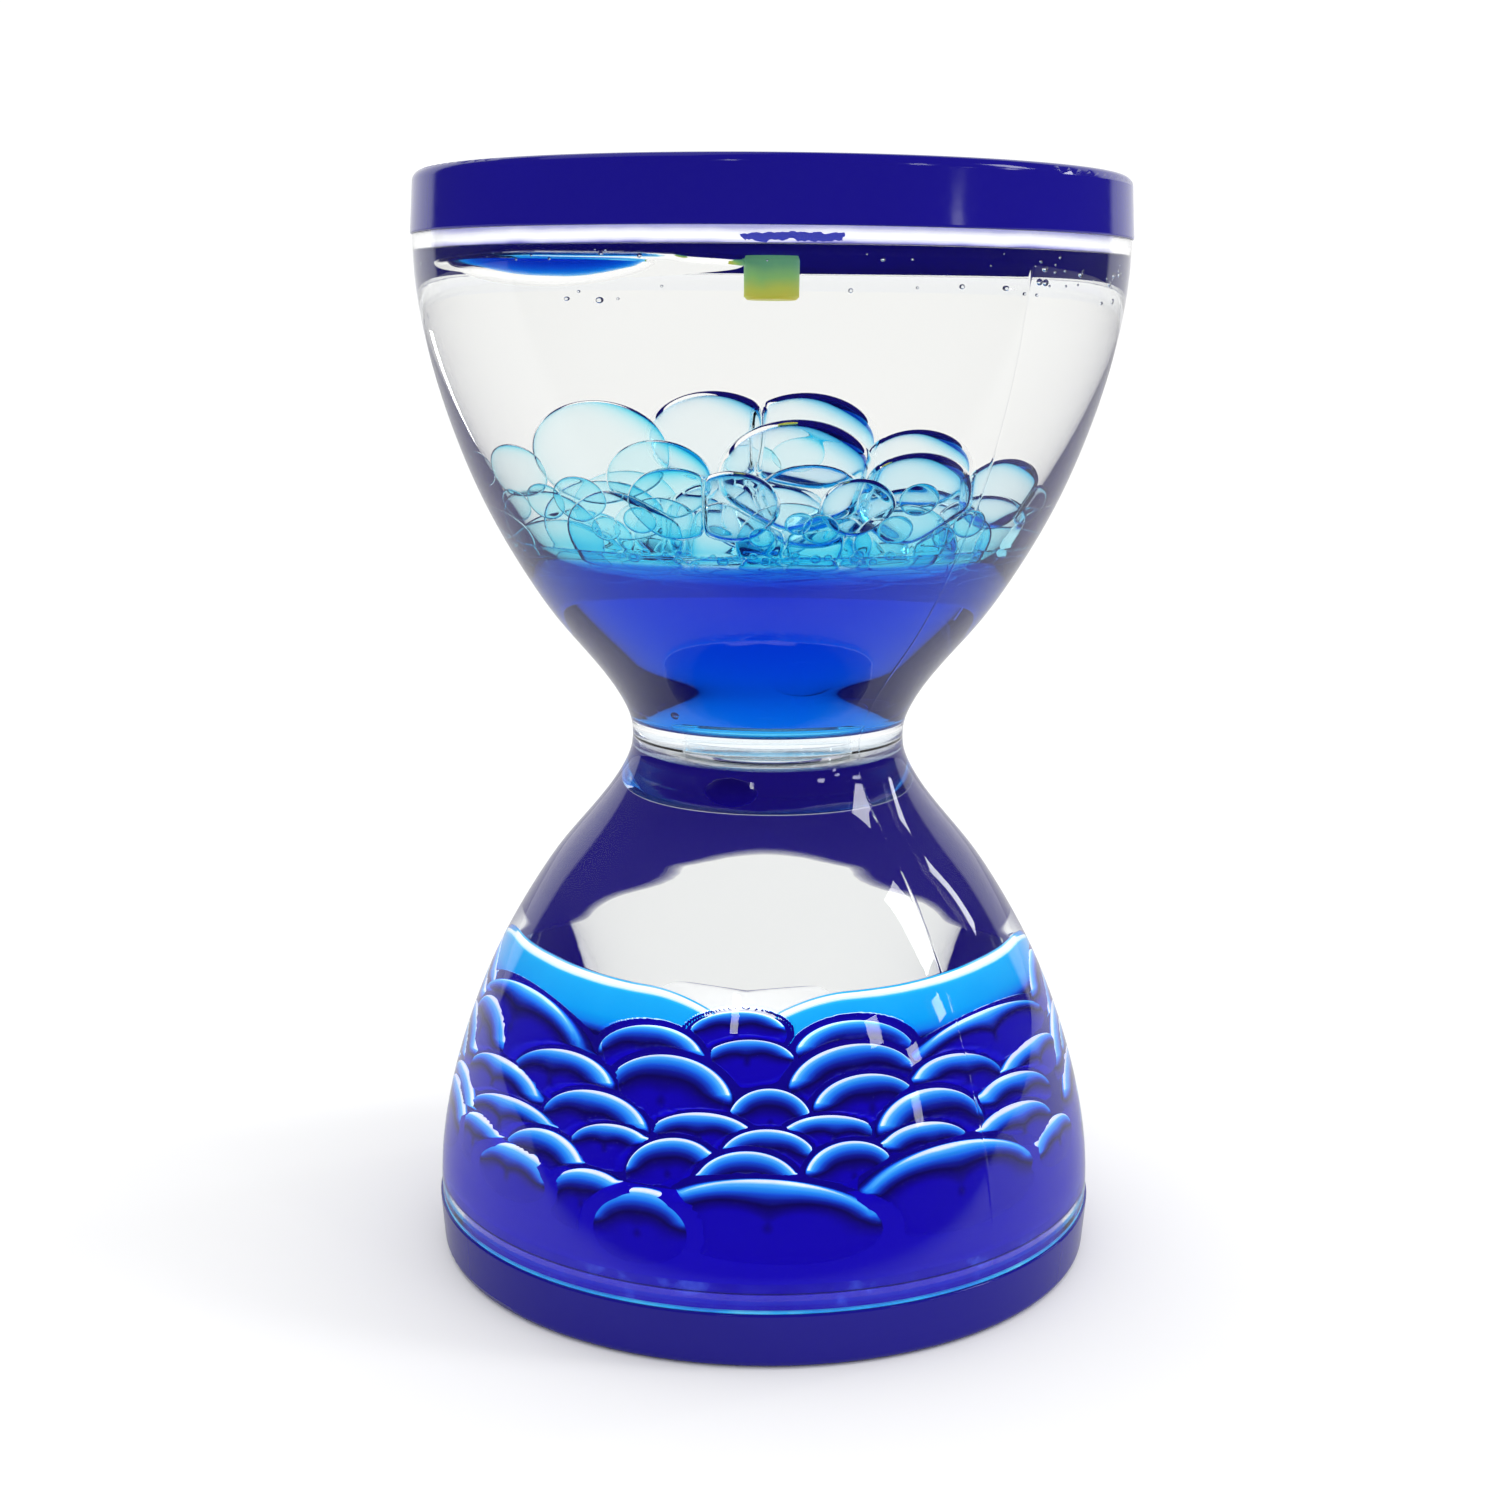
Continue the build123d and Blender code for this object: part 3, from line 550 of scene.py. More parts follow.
# ------------------------------------------------------------------ foam of oil cells
crown = natural_spline([(0, 106.0), (11.0, 104.6), (20.0, 101.5), (28.0, 98.0), (33.5, 95.5)])
SQUASH = 0.82               # drops in the heap are wider than tall
UP, RIGHT = np.array((-0.1, -0.25, 0.96)), np.array((0.64, -0.05, 0.77))
CELLS = [   # x, y, z, radius, thickest film, towards
    (-15.8, -12.0, 104.7, 6.3, 0.10, RIGHT), (-4.8, -2.0, 107.4, 5.4, 0.40, RIGHT), (3.0, -1.0, 107.1, 5.7, 0.75, RIGHT), (2.5, -15.0, 102.4, 6.9, 0.80, RIGHT),
    (13.0, -7.0, 103.8, 4.8, 0.70, RIGHT), (14.1, -17.0, 99.7, 5.7, 0.60, RIGHT), (22.8, -13.0, 99.8, 4.6, 0.60, RIGHT), (-25.6, -14.0, 101.4, 3.6, 0.08, UP),
    (-10.7, -19.0, 101.5, 4.9, 0.30, RIGHT), (-9.6, -25.0, 98.4, 4.6, 0.22, UP), (-3.7, -25.5, 98.3, 4.5, 0.20, UP), (8.9, -25.0, 98.2, 3.7, 0.14, RIGHT),
    (15.5, -26.5, 98.7, 2.1, 0.30, RIGHT), (-20.0, -24.0, 98.2, 3.0, 0.06, UP), (-23.8, -20.5, 97.7, 2.4, 0.08, UP), (-1.3, 4.0, 105.3, 2.2, 0.10, RIGHT),
    (2.2, 6.0, 106.2, 2.0, 0.10, RIGHT), (3.1, -29.0, 96.2, 1.5, 0.10, UP), (21.2, -22.0, 95.7, 1.9, 0.25, RIGHT), (-30.5, -10.0, 101.1, 2.3, 0.06, UP),
    (-13.6, -28.0, 96.1, 1.8, 0.10, UP), (-0.8, -30.2, 94.5, 1.35, 0.10, UP), (13.2, -27.5, 95.3, 1.9, 0.15, RIGHT), (27.2, -12.0, 97.8, 2.8, 0.25, RIGHT),
    (5.2, -28.0, 95.6, 1.9, 0.10, UP), (-17.2, -25.0, 95.0, 1.7, 0.10, UP), (18.3, -24.5, 94.3, 1.5, 0.20, RIGHT), (-27.2, -15.5, 97.0, 2.2, 0.10, UP),
]
CELLS = [(x, y, BLUE_TOP + (z - BLUE_TOP) / SQUASH, 1.08 * rad, thick, toward) for x, y, z, rad, thick, toward in CELLS]
tries = 0
FRONT_CELLS = len(CELLS)
while len(CELLS) < 66 and tries < 9000:
    tries += 1
    rr = 31.0 * math.sqrt(rng.uniform())
    t = rng.uniform(0, 2 * math.pi)
    x, y = rr * math.sin(t), -rr * math.cos(t)
    rad = rng.uniform(4.2, 7.0) if tries < 6000 else rng.uniform(2.6, 4.0)
    hi = BLUE_TOP + (float(crown(rr)) - BLUE_TOP) / SQUASH - rad * 0.92
    if hi < BLUE_TOP + rad * 0.6:
        continue
    z = rng.uniform(BLUE_TOP + rad * 0.75, max(hi, BLUE_TOP + rad * 0.76))
    if rr + rad * 0.85 > float(r_in(BLUE_TOP + (z - BLUE_TOP) * SQUASH)):
        continue
    c = np.array((x, y, z))
    if all(np.linalg.norm(c - np.array(q[:3])) > 0.71 * (rad + q[3]) for q in CELLS):
        CELLS.append((x, y, z, rad, rng.uniform(0.0, 0.1), RIGHT))
# froth of fine cells along the front of the interface
for i in range(46):
    t = math.radians(rng.uniform(-34, 30))
    rad = rng.uniform(0.32, 0.8)
    rr = float(r_in(BLUE_TOP + 1.5)) - rad - rng.uniform(0.15, 1.2)
    c = np.array((rr * math.sin(t), -rr * math.cos(t), BLUE_TOP + 0.7 * rad + rng.uniform(0.0, 1.6)))
    if all(np.linalg.norm(c - np.array(q[:3])) > 0.8 * (rad + q[3]) for q in CELLS):
        CELLS.append((*c, rad, 0.05, UP))


def wall_distance(c, d, reach, film, base=0.0, squash=1.0):
    """Distance from c along each d to the bulb's inner wall, less a film; reach where it isn't met."""
    lo, hi = np.zeros(len(d)), np.full(len(d), reach)

    def room(t):
        p = c[None] + t[:, None] * d
        return r_in(base + (p[:, 2] - base) * squash) - film - np.hypot(p[:, 0], p[:, 1])

    free = room(hi) > 0
    for _ in range(26):
        m = (lo + hi) / 2
        inside = room(m) > 0
        lo, hi = np.where(inside, m, lo), np.where(inside, hi, m)
    return np.where(free, reach * 4, lo)


def cell_radii(i, d):
    c, rad = np.array(CELLS[i][:3]), CELLS[i][3]
    r = np.full(len(d), rad)
    for j, q in enumerate(CELLS):
        if j == i:
            continue
        g = np.array(q[:3]) - c
        dist = np.linalg.norm(g)
        if dist > rad + q[3]:
            continue
        h = (dist ** 2 + rad ** 2 - q[3] ** 2) / (2 * dist)
        cosn = d @ (g / dist)
        t = np.where(cosn > 0.02, h / np.maximum(cosn, 0.02), 1e3)
        r = smin(r, t, 0.16 * rad)
    r = smin(r, np.where(d[:, 2] < -0.02, (BLUE_TOP + 0.18 - c[2]) / np.minimum(d[:, 2], -0.02), 1e3), 0.25 * rad)
    r = smin(r, wall_distance(c, d, rad * 1.3, 0.12, BLUE_TOP, SQUASH), 0.2 * rad)
    return np.maximum(r, 0.3)


parts, pale = [], []
for i, (x, y, z, rad, thick, toward) in enumerate(CELLS):
    d, f = BALL[5 if i < 14 else 4 if rad > 2.0 else 3]
    r = cell_radii(i, d) - 0.03
    c = np.array((x, y, z))
    outer = c + d * r[:, None]
    low = np.clip((outer[:, 2] - BLUE_TOP) / 8.5, 0, 1)
    lobe = np.clip(d @ (toward / np.linalg.norm(toward)), 0, 1) ** 6
    soft = rad < 3.0 or z < 97.0 or x < -8.0
    front = (0.008 if x < -8.0 and z > 101.0 else 0.03) if i < FRONT_CELLS and y < -8.0 and z < 104.0 else 0.0
    t = np.minimum(0.012 + front + (0.3 if soft else 0.16) * (1 - low) ** 2 + thick * lobe, 0.3 * r)
    inner = c + d * (r - t)[:, None]
    for shape in (outer, inner):
        shape[:, 2] = BLUE_TOP + (shape[:, 2] - BLUE_TOP) * SQUASH
    group = pale if soft else parts
    group.append((outer, f))
    group.append((inner, [g[::-1] for g in f]))
v, f = join(parts)
foam = make_piece("foam_cells", v, f, film_mat, recalc=False)
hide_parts("oil_drop_foam")
v, f = join(pale)
froth = make_piece("foam_froth", v, f, glow_mat, recalc=False)

# ------------------------------------------------------------------ liquids in the lower bulb
CLOSE = 0.02              # less overlap at the small round of the web
corner = float(r_in(HEIGHT - WEB_TOP - 1.0)) + CLOSE
rows = [(0, HEIGHT - WEB_TOP + CLOSE)] + arc(corner - 1.0, HEIGHT - WEB_TOP - 1.0 + CLOSE, 1.0, 90, 0, 8)
rows += [(float(r_in(z)) + CLOSE + (OVER - CLOSE) * min(1.0, max(0.0, (62.0 - z) / 8.0)), z) for z in np.linspace(HEIGHT - WEB_TOP - 1.3, 8.7, 90)]
rows += [(39.6, 8.65), (0, 8.65)]
v, f = lathe_mesh(rows, fine)
lower_oil = make_piece("lower_oil", v, f, oil_mat, sharp=40)
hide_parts("lower_clear_oil")


def wall_frame(theta, z):
    """Point on the lower bulb's inner wall and its outward normal, upward and sideways directions."""
    r = float(r_in(z))
    s = float(r_in(z + 0.05) - r_in(z - 0.05)) / 0.1
    er, ez = np.array((math.sin(theta), -math.cos(theta), 0.0)), np.array((0.0, 0.0, 1.0))
    n = (er - s * ez) / math.hypot(1, s)
    up = (s * er + ez) / math.hypot(1, s)
    side = np.array((math.cos(theta), math.sin(theta), 0.0))
    return r * er + z * ez, n, up, side


# drops that face the front: left end, top and right end of each one's upper edge (degrees round, mm up)
FRONT = [
    (-35.0, 33.9, -25.2, 37.7, -12.5, 35.7), (-15.9, 37.3, -5.7, 40.0, 3.6, 38.7), (-12.9, 34.8, -2.4, 37.0, 4.8, 35.6),
    (-56.8, 28.3, -44.0, 32.7, -30.9, 31.3), (-31.5, 29.9, -19.4, 34.8, -6.6, 29.9), (-6.5, 29.4, 1.5, 31.8, 8.1, 28.6),
    (9.7, 29.9, 20.1, 32.8, 29.7, 29.9), (30.2, 34.1, 50.0, 36.4, 76.0, 34.0), (29.9, 32.2, 42.5, 33.0, 51.7, 28.8),
    (52.5, 29.0, 64.3, 30.6, 79.0, 28.8), (44.0, 27.5, 56.3, 28.4, 67.5, 24.6), (21.8, 27.1, 33.5, 30.0, 44.0, 25.8),
    (41.5, 23.1, 54.1, 25.0, 64.8, 22.0), (56.9, 18.2, 65.4, 20.6, 73.8, 19.0), (-73.8, 25.8, -61.7, 28.6, -46.8, 26.8),
    (-68.4, 21.2, -55.8, 25.0, -40.6, 24.2), (-44.8, 25.8, -34.0, 29.3, -22.7, 26.8), (-71.7, 18.4, -63.3, 20.9, -54.0, 18.8),
    (-53.2, 19.2, -44.8, 23.2, -34.0, 21.2), (-36.7, 23.4, -29.1, 26.1, -20.9, 25.0), (-21.1, 26.1, -11.9, 28.8, -2.3, 27.0),
    (-24.3, 21.1, -17.0, 25.7, -8.3, 24.5), (-7.1, 25.1, 0.7, 27.3, 8.8, 24.6), (-11.5, 21.6, -3.1, 24.8, 6.1, 21.6),
    (3.3, 27.4, 13.2, 28.6, 21.0, 25.7), (7.8, 22.7, 15.6, 25.6, 23.3, 22.8), (21.4, 24.6, 31.1, 26.4, 39.7, 23.4),
    (-61.0, 17.0, -49.3, 19.8, -40.8, 17.8), (-40.1, 16.5, -32.7, 20.3, -23.7, 18.6), (-30.2, 15.2, -21.2, 19.3, -12.4, 16.5),
    (-18.6, 18.8, 1.5, 21.4, 18.9, 16.6), (17.4, 19.0, 34.6, 23.2, 55.3, 17.9),
    (6.9, 36.4, 18.7, 38.8, 31.7, 35.0), (6.0, 32.1, 16.9, 36.2, 31.1, 33.6), (-84.0, 33.4, -61.0, 37.4, -36.1, 34.0),
]
DROPS = []
for a0, z0, a1, z1, a2, z2 in FRONT:
    rw = float(r_in(z1))
    w = rw * math.radians(a2 - a0)
    sag = max(1.6, z1 - (z0 + z2) / 2)
    half = w / 2 * 1.05
    high = float(np.clip(sag * 1.35, 2.7, 5.2))
    lean = 0.6 * math.atan2(z2 - z0, w)
    DROPS.append((math.radians((a0 + a2) / 2 * 0.6 + a1 * 0.4), z1 - high, half, high, lean, 84))
# and the rest of the way round
for k, z1 in enumerate((37.2, 34.0, 30.6, 27.2, 23.8, 20.6)):
    a = 76.0 + (k % 2) * 6.0
    while a < 280.0:
        w = rng.uniform(9.5, 14.5)
        step = math.degrees(w / float(r_in(z1)))
        if a + step * 0.5 > 286.0:
            break
        high = w * rng.uniform(0.29, 0.37)
        DROPS.append((math.radians(a + step / 2), z1 - high + rng.uniform(-0.8, 0.8), w / 2 * 1.08, high, rng.uniform(-0.15, 0.15), 52))
        a += step * 0.93
DROPS.sort(key=lambda q: q[1])


def polar(n):
    """Directions on a grid about the third axis, close together where a drop rounds away from the wall."""
    rows = np.radians(np.concatenate([np.linspace(14, 44, 4), np.linspace(49, 106, 23 if n > 60 else 16), np.linspace(114, 168, 4)]))
    v = [(0.0, 0.0, 1.0)]
    for a in rows:
        v += [(math.sin(a) * math.cos(t), math.sin(a) * math.sin(t), math.cos(a)) for t in even(n)]
    v.append((0.0, 0.0, -1.0))
    f = []
    for j in range(n):
        k = (j + 1) % n
        f.append((0, 1 + j, 1 + k))
        for i in range(len(rows) - 1):
            f.append((1 + i * n + j, 1 + (i + 1) * n + j, 1 + (i + 1) * n + k, 1 + i * n + k))
        f.append((1 + (len(rows) - 1) * n + j, len(v) - 1, 1 + (len(rows) - 1) * n + k))
    return np.array(v), f


GRID = {n: polar(n) for n in (52, 84)}
FILM = 0.25
bodies = []
for theta, zc, half, high, lean, grid in DROPS:
    p, n, up, side = wall_frame(theta, zc)
    deep = float(np.clip(0.75 * half, 3.2, 5.4))
    s2, u2 = side * math.cos(lean) + up * math.sin(lean), up * math.cos(lean) - side * math.sin(lean)
    bodies.append((p - n * (FILM + 0.62 * deep), np.array((s2, u2, n)), np.array((half, high, deep)), grid))


def edge_paint(o, weights, name="edge"):
    a = o.data.attributes.new(name, "FLOAT", "POINT")
    a.data.foreach_set("value", np.asarray(weights, np.float32))


parts, paint = {84: [], 52: []}, {84: [], 52: []}
for i, (c, axes, radii, grid) in enumerate(bodies):
    local, f = GRID[grid]
    d = local @ axes
    r = 1 / np.sqrt(((local / radii) ** 2).sum(1))
    r = smin(r, wall_distance(c, d, float(max(radii)) * 1.25, FILM), 0.9)
    r = np.maximum(r, 0.4)
    v = c + d * r[:, None]
    # tuck the lower side in behind the drops it rests on
    for c2, axes2, radii2, _ in bodies[:i]:
        if np.linalg.norm(c2 - c) < max(radii) + max(radii2):
            q = (v - c2) @ axes2.T
            rho = np.hypot(q[:, 0] / radii2[0], q[:, 1] / radii2[1])
            back = -0.3 * radii2[2]
            tuck = np.clip((1.22 - rho) / 0.14, 0, 1)
            q[:, 2] = np.where(q[:, 2] > back, q[:, 2] + (back - q[:, 2]) * tuck, q[:, 2])
            v = c2 + q @ axes2
    parts[grid].append((v, f))
    # painted highlight along each drop's upper edge: white, then cyan and blue, then a dark shade band, by the distance
    # in from the upper edge, as seen square to the wall
    q = local * r[:, None]
    across, upward = q[:, 0] / radii[0], q[:, 1] / radii[1]
    rho = np.hypot(across, upward)
    reach = np.hypot(q[:, 0], q[:, 1]) / np.maximum(rho, 1e-6)
    inward = np.maximum(1 - rho, 0) * reach * np.interp(radii[0], [3.5, 5.0, 7.5], [1.35, 1.15, 0.9])
    lift = np.clip((upward + 0.14) / 0.42, 0, 1)
    rim_highlight = np.clip(1 - inward / 4.5, 0, 1) * lift
    # the highlight is painted weaker where the drop turns away from the wall
    rim_highlight = rim_highlight * (0.55 + 0.45 * np.clip((local[:, 2] + 0.02) / 0.12, 0, 1))
    # dimmer rims on the highest row at the back, so that no bright ring shows through the oil from the front
    turned = abs(math.atan2(c[0], -c[1]))
    shade = min(1.0, max(0.0, (turned - 1.75) / 0.4)) * min(1.0, max(0.0, (c[2] + radii[1] - 35.0) / 1.4))
    paint[grid].append(rim_highlight * (1 - 0.5 * shade))
core = [(0, 17.6)] + [(float(r_in(z)) - 3.4, z) for z in np.linspace(17.6, 37.5, 24)] + [(0, 37.5)]
cv, cf = lathe_mesh(core, even(96))
v, f = join(parts[84] + [(cv, cf)])
bed = make_piece("drop_bed", v, f, bed_mat)
edge_paint(bed, np.concatenate(paint[84] + [np.full(len(cv), 0.3)]))
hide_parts("lower_drop_bed")
v, f = join(parts[52])
bed_back = make_piece("drop_bed_back", v, f, bed_mat)
edge_paint(bed_back, np.concatenate(paint[52]))


# top layer: wide drops run together under a slightly dished face, rounded at the wall and parted by notches
def top_layer():
    n = 720
    a = even(n)
    notch = np.zeros(n)
    for at_deg, deep in ((-4.3, 3.9), (96.0, 3.0), (150.0, 3.4), (212.0, 3.0), (262.0, 3.2)):
        d = np.abs((a - math.radians(at_deg) + math.pi) % (2 * math.pi) - math.pi) * 31.0
        notch = np.maximum(notch, deep * np.clip(1 - d / 12.0, 0, 1) ** 2)
    slope_y = np.array([0.0, 8.0, 12.0, 16.0, 18.0, 20.0, 25.0, 30.0, 34.0])
    slope_d = np.array([0.0, 0.1, 1.0, 2.1, 3.2, 4.2, 5.4, 6.6, 6.6])
    fine_y = np.linspace(0, 34, 681)
    rise = np.concatenate([[0], np.cumsum(np.tan(np.radians(np.interp((fine_y[1:] + fine_y[:-1]) / 2, slope_y, slope_d))) * 0.05)])

    turn = np.abs((a + math.pi) % (2 * math.pi) - math.pi)
    # slight rise to the wall, at the front and more at the sides
    lip = 0.14 * np.clip((1.6 - turn) / 0.5, 0, 1) + 0.26 * np.clip(1 - np.abs(turn - 0.98) / 0.45, 0, 1)

    def level(r):
        """Height of the face, which climbs gently towards the back."""
        return BED_TOP + np.interp(-r * np.cos(a), fine_y, rise) * (1 + (r * np.sin(a) / 11.0) ** 2) + lip * np.clip((r - 19.0) / 11.0, 0, 1) ** 2

    edge_r = 0.35
    brink = np.full(n, float(r_in(BED_TOP)) - FILM - edge_r)
    for _ in range(12):
        brink = 0.5 * brink + 0.5 * (r_in(level(brink) - notch) - FILM - edge_r)
    # the painted highlights on the rim and the pale painted reflection in the notches are kept to the front
    near = np.clip((1.65 - turn) / 0.3, 0, 1)                   # 1 in front, 0 at the back
    verts, edge, gap_reflection = [(0, 0, BED_TOP)], [0.0], [0.0]
    k_rows = 0
    # the notch slopes are painted pale in front, a painted reflection
    for s in np.concatenate([np.linspace(0.04, 0.6, 22), np.linspace(0.62, 0.89, 14), np.linspace(0.9, 1.0, 14)]):
        r = brink * s
        sink = np.clip((r - (brink - 3.0)) / 3.0, 0, 1) ** 1.4
        z = level(r) - notch * sink
        verts += list(zip(r * np.sin(a), -r * np.cos(a), z))
        edge += [0.0] * n
        gap_reflection += list(np.clip(notch * sink / 0.03, 0, 1) * near)
        k_rows += 1
    top = level(brink) - notch
    # painted highlight on the rounded edge: white on its outer part and cyan above in front, navy at the back
    for t in np.radians(np.linspace(80, 0, 9)):
        z = top - edge_r + edge_r * math.sin(t)
        r = np.minimum(brink + edge_r * math.cos(t), r_in(z) - FILM)
        verts += list(zip(r * np.sin(a), -r * np.cos(a), z))
        edge += list(0.1 + ((0.99 if math.degrees(t) < 38 else 0.88) - 0.1) * near)
        gap_reflection += [0.0] * n
        k_rows += 1
    # at the back the face is painted navy, painted shade, since the front view sees the far side dark through the oil
    far = np.clip((2.0 - turn) / 0.45, 0, 1)
    face = np.linspace(0.0, 1.0, 44)[1:]
    foot = 34.6
    # painted highlight down the face: a white rim line, then cyan, fading into a dark band about 5.7 mm below its top
    rim = 0.06 + 0.16 * np.clip((turn - 0.35) / 0.6, 0, 1)
    for s in face:
        z = (top - edge_r) * (1 - s) + foot * s
        r = r_in(z) - FILM - 0.9 * s ** 1.5
        verts += list(zip(r * np.sin(a), -r * np.cos(a), z))
        down = (top - edge_r) - z
        tint = np.array([np.interp(q, [0.0, w, w + 0.3, w + 0.7, 3.8, 4.5, 5.0, 5.7], [0.99, 0.965, 0.90, 0.82, 0.78, 0.6, 0.42, 0.26]) for q, w in zip(down, rim)])
        edge += list(0.12 + (tint - 0.12) * far)
        gap_reflection += [0.0] * n
        k_rows += 1
    r = r_in(foot) - 4.5
    verts += list(zip(r * np.sin(a), -r * np.cos(a), np.full(n, foot)))
    edge += [0.26] * n
    gap_reflection += [0.0] * n
    k_rows += 1
    low = len(verts)
    verts.append((0, 0, foot))
    edge.append(0.26)
    gap_reflection.append(0.0)
    faces = []
    for j in range(n):
        k = (j + 1) % n
        faces.append((0, 1 + j, 1 + k))
        for i in range(k_rows - 1):
            b0, b1 = 1 + i * n, 1 + (i + 1) * n
            faces.append((b0 + j, b1 + j, b1 + k, b0 + k))
        b0 = 1 + (k_rows - 1) * n
        faces.append((b0 + j, low, b0 + k))
    verts = np.array(verts, float)
    # the drops that stand before its face push it in
    for c2, axes2, radii2, _ in bodies:
        q = (verts - c2) @ axes2.T
        rho = np.hypot(q[:, 0] / radii2[0], q[:, 1] / radii2[1])
        back = -0.3 * radii2[2]
        tuck = np.clip((1.20 - rho) / 0.12, 0, 1) * (verts[:, 2] < BED_TOP - 0.2)
        deep_in = (q[:, 2] > back) & (q[:, 2] < radii2[2] * 1.2)
        q[:, 2] = np.where(deep_in, q[:, 2] + (back - q[:, 2]) * tuck, q[:, 2])
        verts = c2 + q @ axes2
    return verts, faces, edge, gap_reflection


v, f, edge, gap_reflection = top_layer()
bed_top = make_piece("bed_top_layer", v, f, top_mat)
edge_paint(bed_top, edge)
edge_paint(bed_top, gap_reflection, "gap_reflection")

# pool under the bed
rows = [(0, 8.68), (38.2, 8.68), (39.2, 9.5)] + [(float(r_in(z)) - FILM - 0.5 * min(1.0, max(0.0, (z - 10.0) / 3.0)), z) for z in np.linspace(10.2, 18.0, 24)]
rows += [(float(r_in(18.6)) - 1.2, 18.7), (float(r_in(19)) - 4.5, 19.2), (0, 19.2)]
v, f = lathe_mesh(rows, even(200))
pool = make_piece("blue_pool", v, f, pool_mat, sharp=50)
# the pool is painted a little lighter towards the bottom
edge_paint(pool, np.clip(0.45 - (v[:, 2] - 8.7) / 40.0, 0, 1))
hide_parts("lower_blue_pool")

# ------------------------------------------------------------------ drops under way
v, f = BALL[4]
d = v
shape = d * 2.4
shape[:, 2] += np.clip(d[:, 2], 0, 1) ** 3 * 0.55
shape[:, :2] *= (1 - 0.22 * np.clip(d[:, 2], 0, 1) ** 2)[:, None]
fall = make_piece("falling_drop_skin", shape + np.array((-3.2, 0, 56.87)), f, bed_mat, body="falling_drop")
edge_paint(fall, 0.43 + 0.05 * d[:, 2])
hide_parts("falling_blue_drop")

shape = d * np.array((3.1, 3.1, 2.8)) * (1 - 0.06 * d[:, 2:3])
rise_o = make_piece("rising_drop_skin", shape + np.array((3.2, 0, 79.25)), f, oil_drop_mat, body="rising_drop")
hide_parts("rising_oil_drop")

# ------------------------------------------------------------------ fine air bubbles in the bond bead and at the neck
parts = []
g = np.random.default_rng(11)
bd, bf = BALL[3]
for i in range(26):
    t = math.radians(g.uniform(44, 78))
    z = g.uniform(120.6, 123.6)
    rad = g.choice([0.16, 0.22, 0.3, 0.42], p=[0.35, 0.3, 0.2, 0.15])
    rr = 39.3 - rad
    parts.append((bd * rad * np.array((1, 1, 0.85)) + np.array((rr * math.sin(t), -rr * math.cos(t), z)), bf))
for i in range(60):
    t = math.radians(g.uniform(80, 404))
    z = g.uniform(122.4, 123.8)
    rad = g.choice([0.1, 0.16, 0.24], p=[0.5, 0.35, 0.15])
    rr = 39.2 - rad
    parts.append((bd * rad + np.array((rr * math.sin(t), -rr * math.cos(t), z)), bf))
v, f = join(parts)
make_piece("bond_bubbles", v, f, air_mat)
t = math.radians(-42)
v = bd * 0.55 + np.array((15.6 * math.sin(t), -15.6 * math.cos(t), 71.3))
make_piece("neck_bubble", v, bf, air_mat)

# ------------------------------------------------------------------ carried-over nodes
# base bond: dark blue with a paler mottle, glowing in its own colour, painted light
seam_mat, nt, out = material("base_bond")
p = principled(nt, out, **{"Roughness": 0.3, "IOR": 1.1, "Specular IOR Level": 0.0, "Emission Strength": 0.9})
tc = nt.nodes.new("ShaderNodeTexCoord")
n1 = put(nt, "ShaderNodeTexNoise", Scale=260.0, Detail=3.0)
nt.links.new(tc.outputs["Object"], n1.inputs["Vector"])
c = ramp(nt, [(0.30, (0.006, 0.001, 0.34)), (0.58, (0.009, 0.006, 0.38)), (0.70, (0.03, 0.05, 0.5))])
nt.links.new(n1.outputs["Fac"], c.inputs["Fac"])
nt.links.new(c.outputs["Color"], p.inputs["Base Color"])
nt.links.new(c.outputs["Color"], p.inputs["Emission Color"])


# painted highlight: a glowing cyan line where the lower bulb stands on its cap
seam_highlight_mat, nt, out = material("seam_highlight")
p = principled(nt, out, **{"Roughness": 0.3, "IOR": 1.1, "Emission Strength": 0.4})
tc = nt.nodes.new("ShaderNodeTexCoord")
n1 = put(nt, "ShaderNodeTexNoise", Scale=160.0, Detail=3.0)
nt.links.new(tc.outputs["Object"], n1.inputs["Vector"])
c = ramp(nt, [(0.3, (0.01, 0.18, 0.75)), (0.5, (0.02, 0.42, 0.88)), (0.7, (0.12, 0.62, 0.95))])
nt.links.new(n1.outputs["Fac"], c.inputs["Fac"])
nt.links.new(c.outputs["Color"], p.inputs["Base Color"])
nt.links.new(c.outputs["Color"], p.inputs["Emission Color"])
v, f = lathe_mesh([(41.5, 7.07), (42.24, 7.07), (42.24, 7.30), (41.5, 7.24)], even(192), ring=True)
base_seam_highlight = make_piece("base_seam_highlight", v, f, seam_highlight_mat, sharp=30)

# top bond: milky around the plate's edge, clear in the bead under it
milky_mat, nt, out = material("milky_adhesive")
p = principled(nt, out, **{"Roughness": 0.25, "IOR": 1.03, "Emission Strength": 0.25})
tc = nt.nodes.new("ShaderNodeTexCoord")
n1 = put(nt, "ShaderNodeTexNoise", Scale=140.0, Detail=3.0)
nt.links.new(tc.outputs["Object"], n1.inputs["Vector"])
sep = nt.nodes.new("ShaderNodeSeparateXYZ")
nt.links.new(tc.outputs["Object"], sep.inputs["Vector"])
lvl = put(nt, "ShaderNodeMapRange")
lvl.inputs["From Min"].default_value, lvl.inputs["From Max"].default_value = 0.1243, 0.1259
lvl.inputs["To Min"].default_value, lvl.inputs["To Max"].default_value = -0.2, 0.8
nt.links.new(sep.outputs["Z"], lvl.inputs["Value"])
mixed = put(nt, "ShaderNodeMath", operation="MULTIPLY_ADD")
nt.links.new(n1.outputs["Fac"], mixed.inputs[0])
mixed.inputs[1].default_value = 0.4
nt.links.new(lvl.outputs["Result"], mixed.inputs[2])
